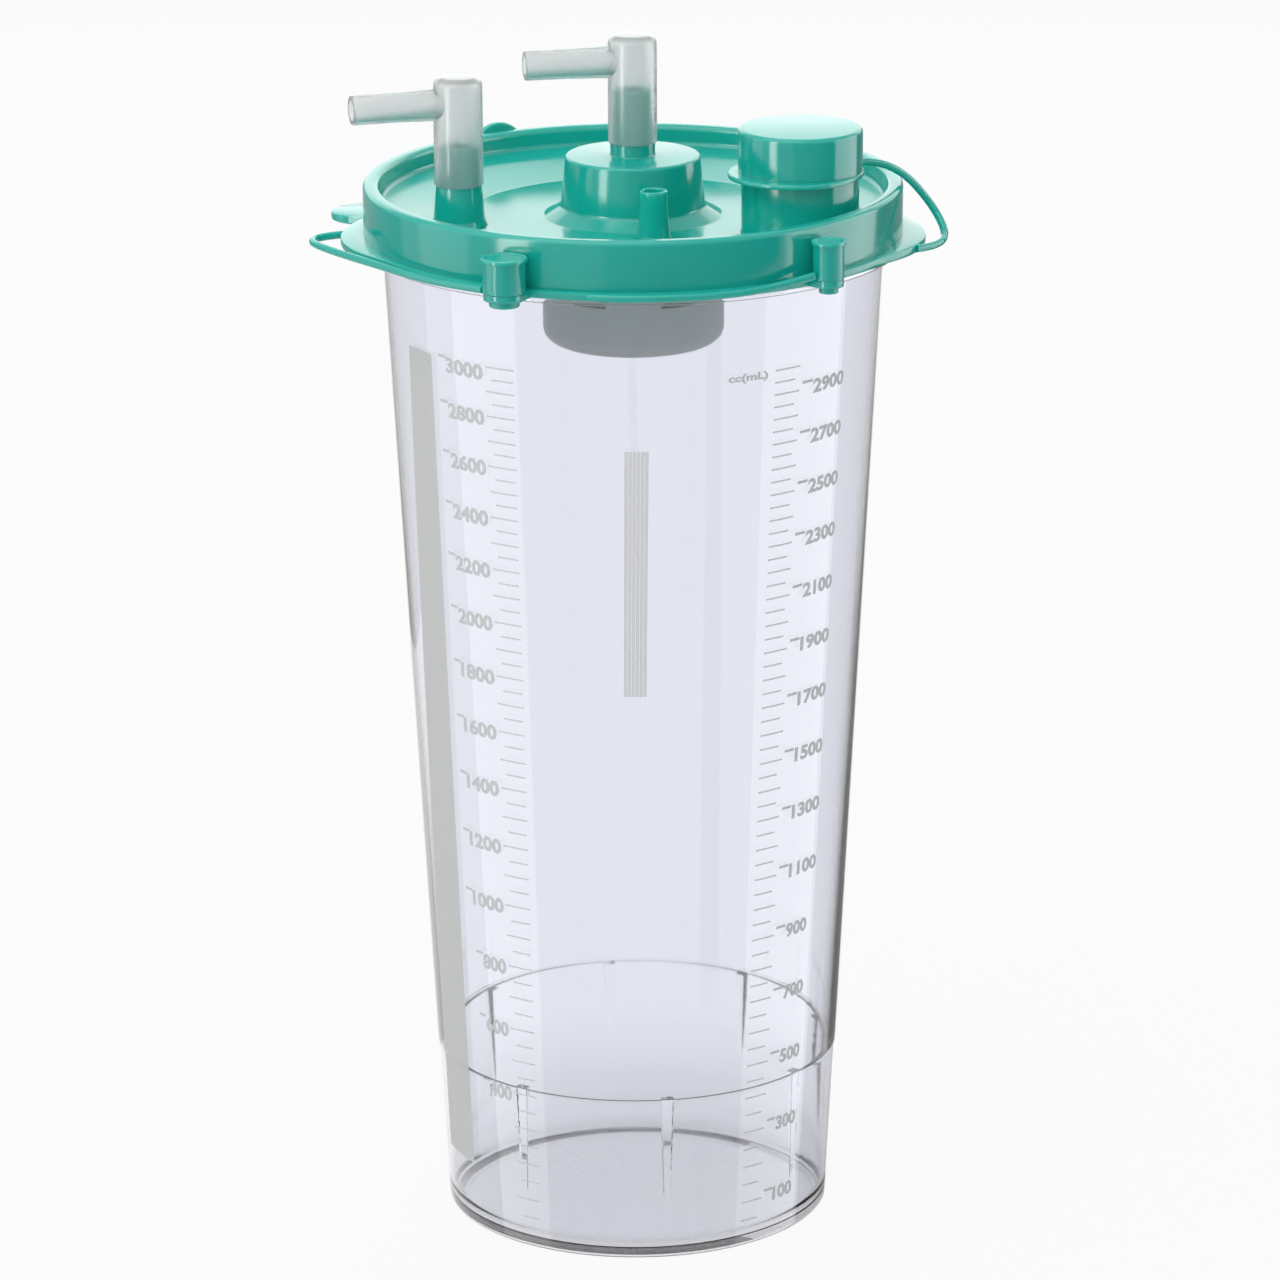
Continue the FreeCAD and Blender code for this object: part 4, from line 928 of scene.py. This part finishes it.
# %% Marks
LINE, LEFT_RAISE, MARK_COUNT = 0.48, 1.2, 60
LEFT_MARKS, RIGHT_MARKS = (-125.9, -118.1), (-56.0, -48.8)
marks = []
for step in range(MARK_COUNT):
    volume = 3000 - 50 * step
    height = mark_height(volume)
    short = volume % 100 != 0
    middle = height + LEFT_RAISE
    marks.append(patch(LEFT_MARKS[0] + 1.7 * short, LEFT_MARKS[1] - 0.3 * short,
                       middle - LINE / 2, middle + LINE / 2, 7))
    marks.append(patch(RIGHT_MARKS[0], RIGHT_MARKS[1] - 1.4 * short,
                       height - LINE / 2, height + LINE / 2, 7))
marks = make("scale_marks", together(*marks))
finish_piece(marks, mark_ink, "container")


# %% Numbers
def letters(words, width, height):
    """Flat type as (points, triangles): its box is scaled to a width and height."""
    curve = bpy.data.curves.new("type", "FONT")
    curve.body = words
    curve.resolution_u = 3
    curve.offset = 0.042
    writer = bpy.data.objects.new("type", curve)
    bpy.context.scene.collection.objects.link(writer)
    bpy.context.view_layer.update()
    seen_by = bpy.context.evaluated_depsgraph_get()
    mesh = bpy.data.meshes.new_from_object(writer.evaluated_get(seen_by))
    mesh.calc_loop_triangles()
    points = np.empty(len(mesh.vertices) * 3, np.float32)
    mesh.vertices.foreach_get("co", points)
    points = points.reshape(-1, 3)[:, :2].astype(float)
    faces = np.array([t.vertices for t in mesh.loop_triangles])
    bpy.data.objects.remove(writer)
    low, high = points.min(0), points.max(0)
    return (points - low) / (high - low) * np.array([width, height]), faces


def printed(words, left, top, width, height):
    """Type on the wall: left and width are in degrees, top and height in millimetres."""
    points, faces = letters(words, width, height)
    return on_wall(left + points[:, 0], top - height + points[:, 1]), faces


DIGIT, DIGIT_GAP, DASH_RAISE = 3.0, 0.4, 0.3
LEFT_NUMBERS_END, LEFT_DASH, RIGHT_NUMBERS, RIGHT_DASH = -126.6, -140.9, -44.3, -47.9
numbers = []
for volume in range(3000, 300, -200):
    words = str(volume)
    top = mark_height(volume) + (1.6 if volume == 3000 else 2.7)
    width = DIGIT * len(words) - DIGIT_GAP
    numbers.append(printed(words, LEFT_NUMBERS_END - width, top, width, 4.6))
    dash = LEFT_DASH + DIGIT * (4 - len(words))
    numbers.append(printed("-", dash, top + DASH_RAISE, 2.7, 0.8))
for volume in range(2900, 0, -200):
    words = str(volume)
    top = mark_height(volume) + 2.3
    width = DIGIT * len(words) - DIGIT_GAP
    numbers.append(printed(words, RIGHT_NUMBERS, top, width, 4.3))
    numbers.append(printed("-", RIGHT_DASH, top + 0.1, 3.3, 0.8))
numbers.append(printed("cc(mL)", -68.2, mark_height(3000) + 0.5, 10.2, 2.9))
numbers = make("scale_numbers", together(*numbers))
finish_piece(numbers, number_ink, "container")

# %% Writing strip and striped bar
strip = make("writing_strip", patch((-163, -153.9), (-145, -143.6), 20.0, 264.0, 12, 40))
finish_piece(strip, strip_ink, "container")
BAR_LEFT, BAR_RIGHT, BAR_LOW, BAR_HIGH, STRIPES, COVER = -92.1, -86.4, 171.7, 243.0, 6, 0.9
pitch = (BAR_RIGHT - BAR_LEFT) / STRIPES
bars = [patch(BAR_LEFT + pitch * k, BAR_LEFT + pitch * (k + COVER), BAR_LOW, BAR_HIGH, 4, 12)
        for k in range(STRIPES)]
bars = make("striped_bar", together(*bars))
finish_piece(bars, bar_ink, "container")

# %% View transform
bpy.context.scene.view_settings.view_transform = "Standard"
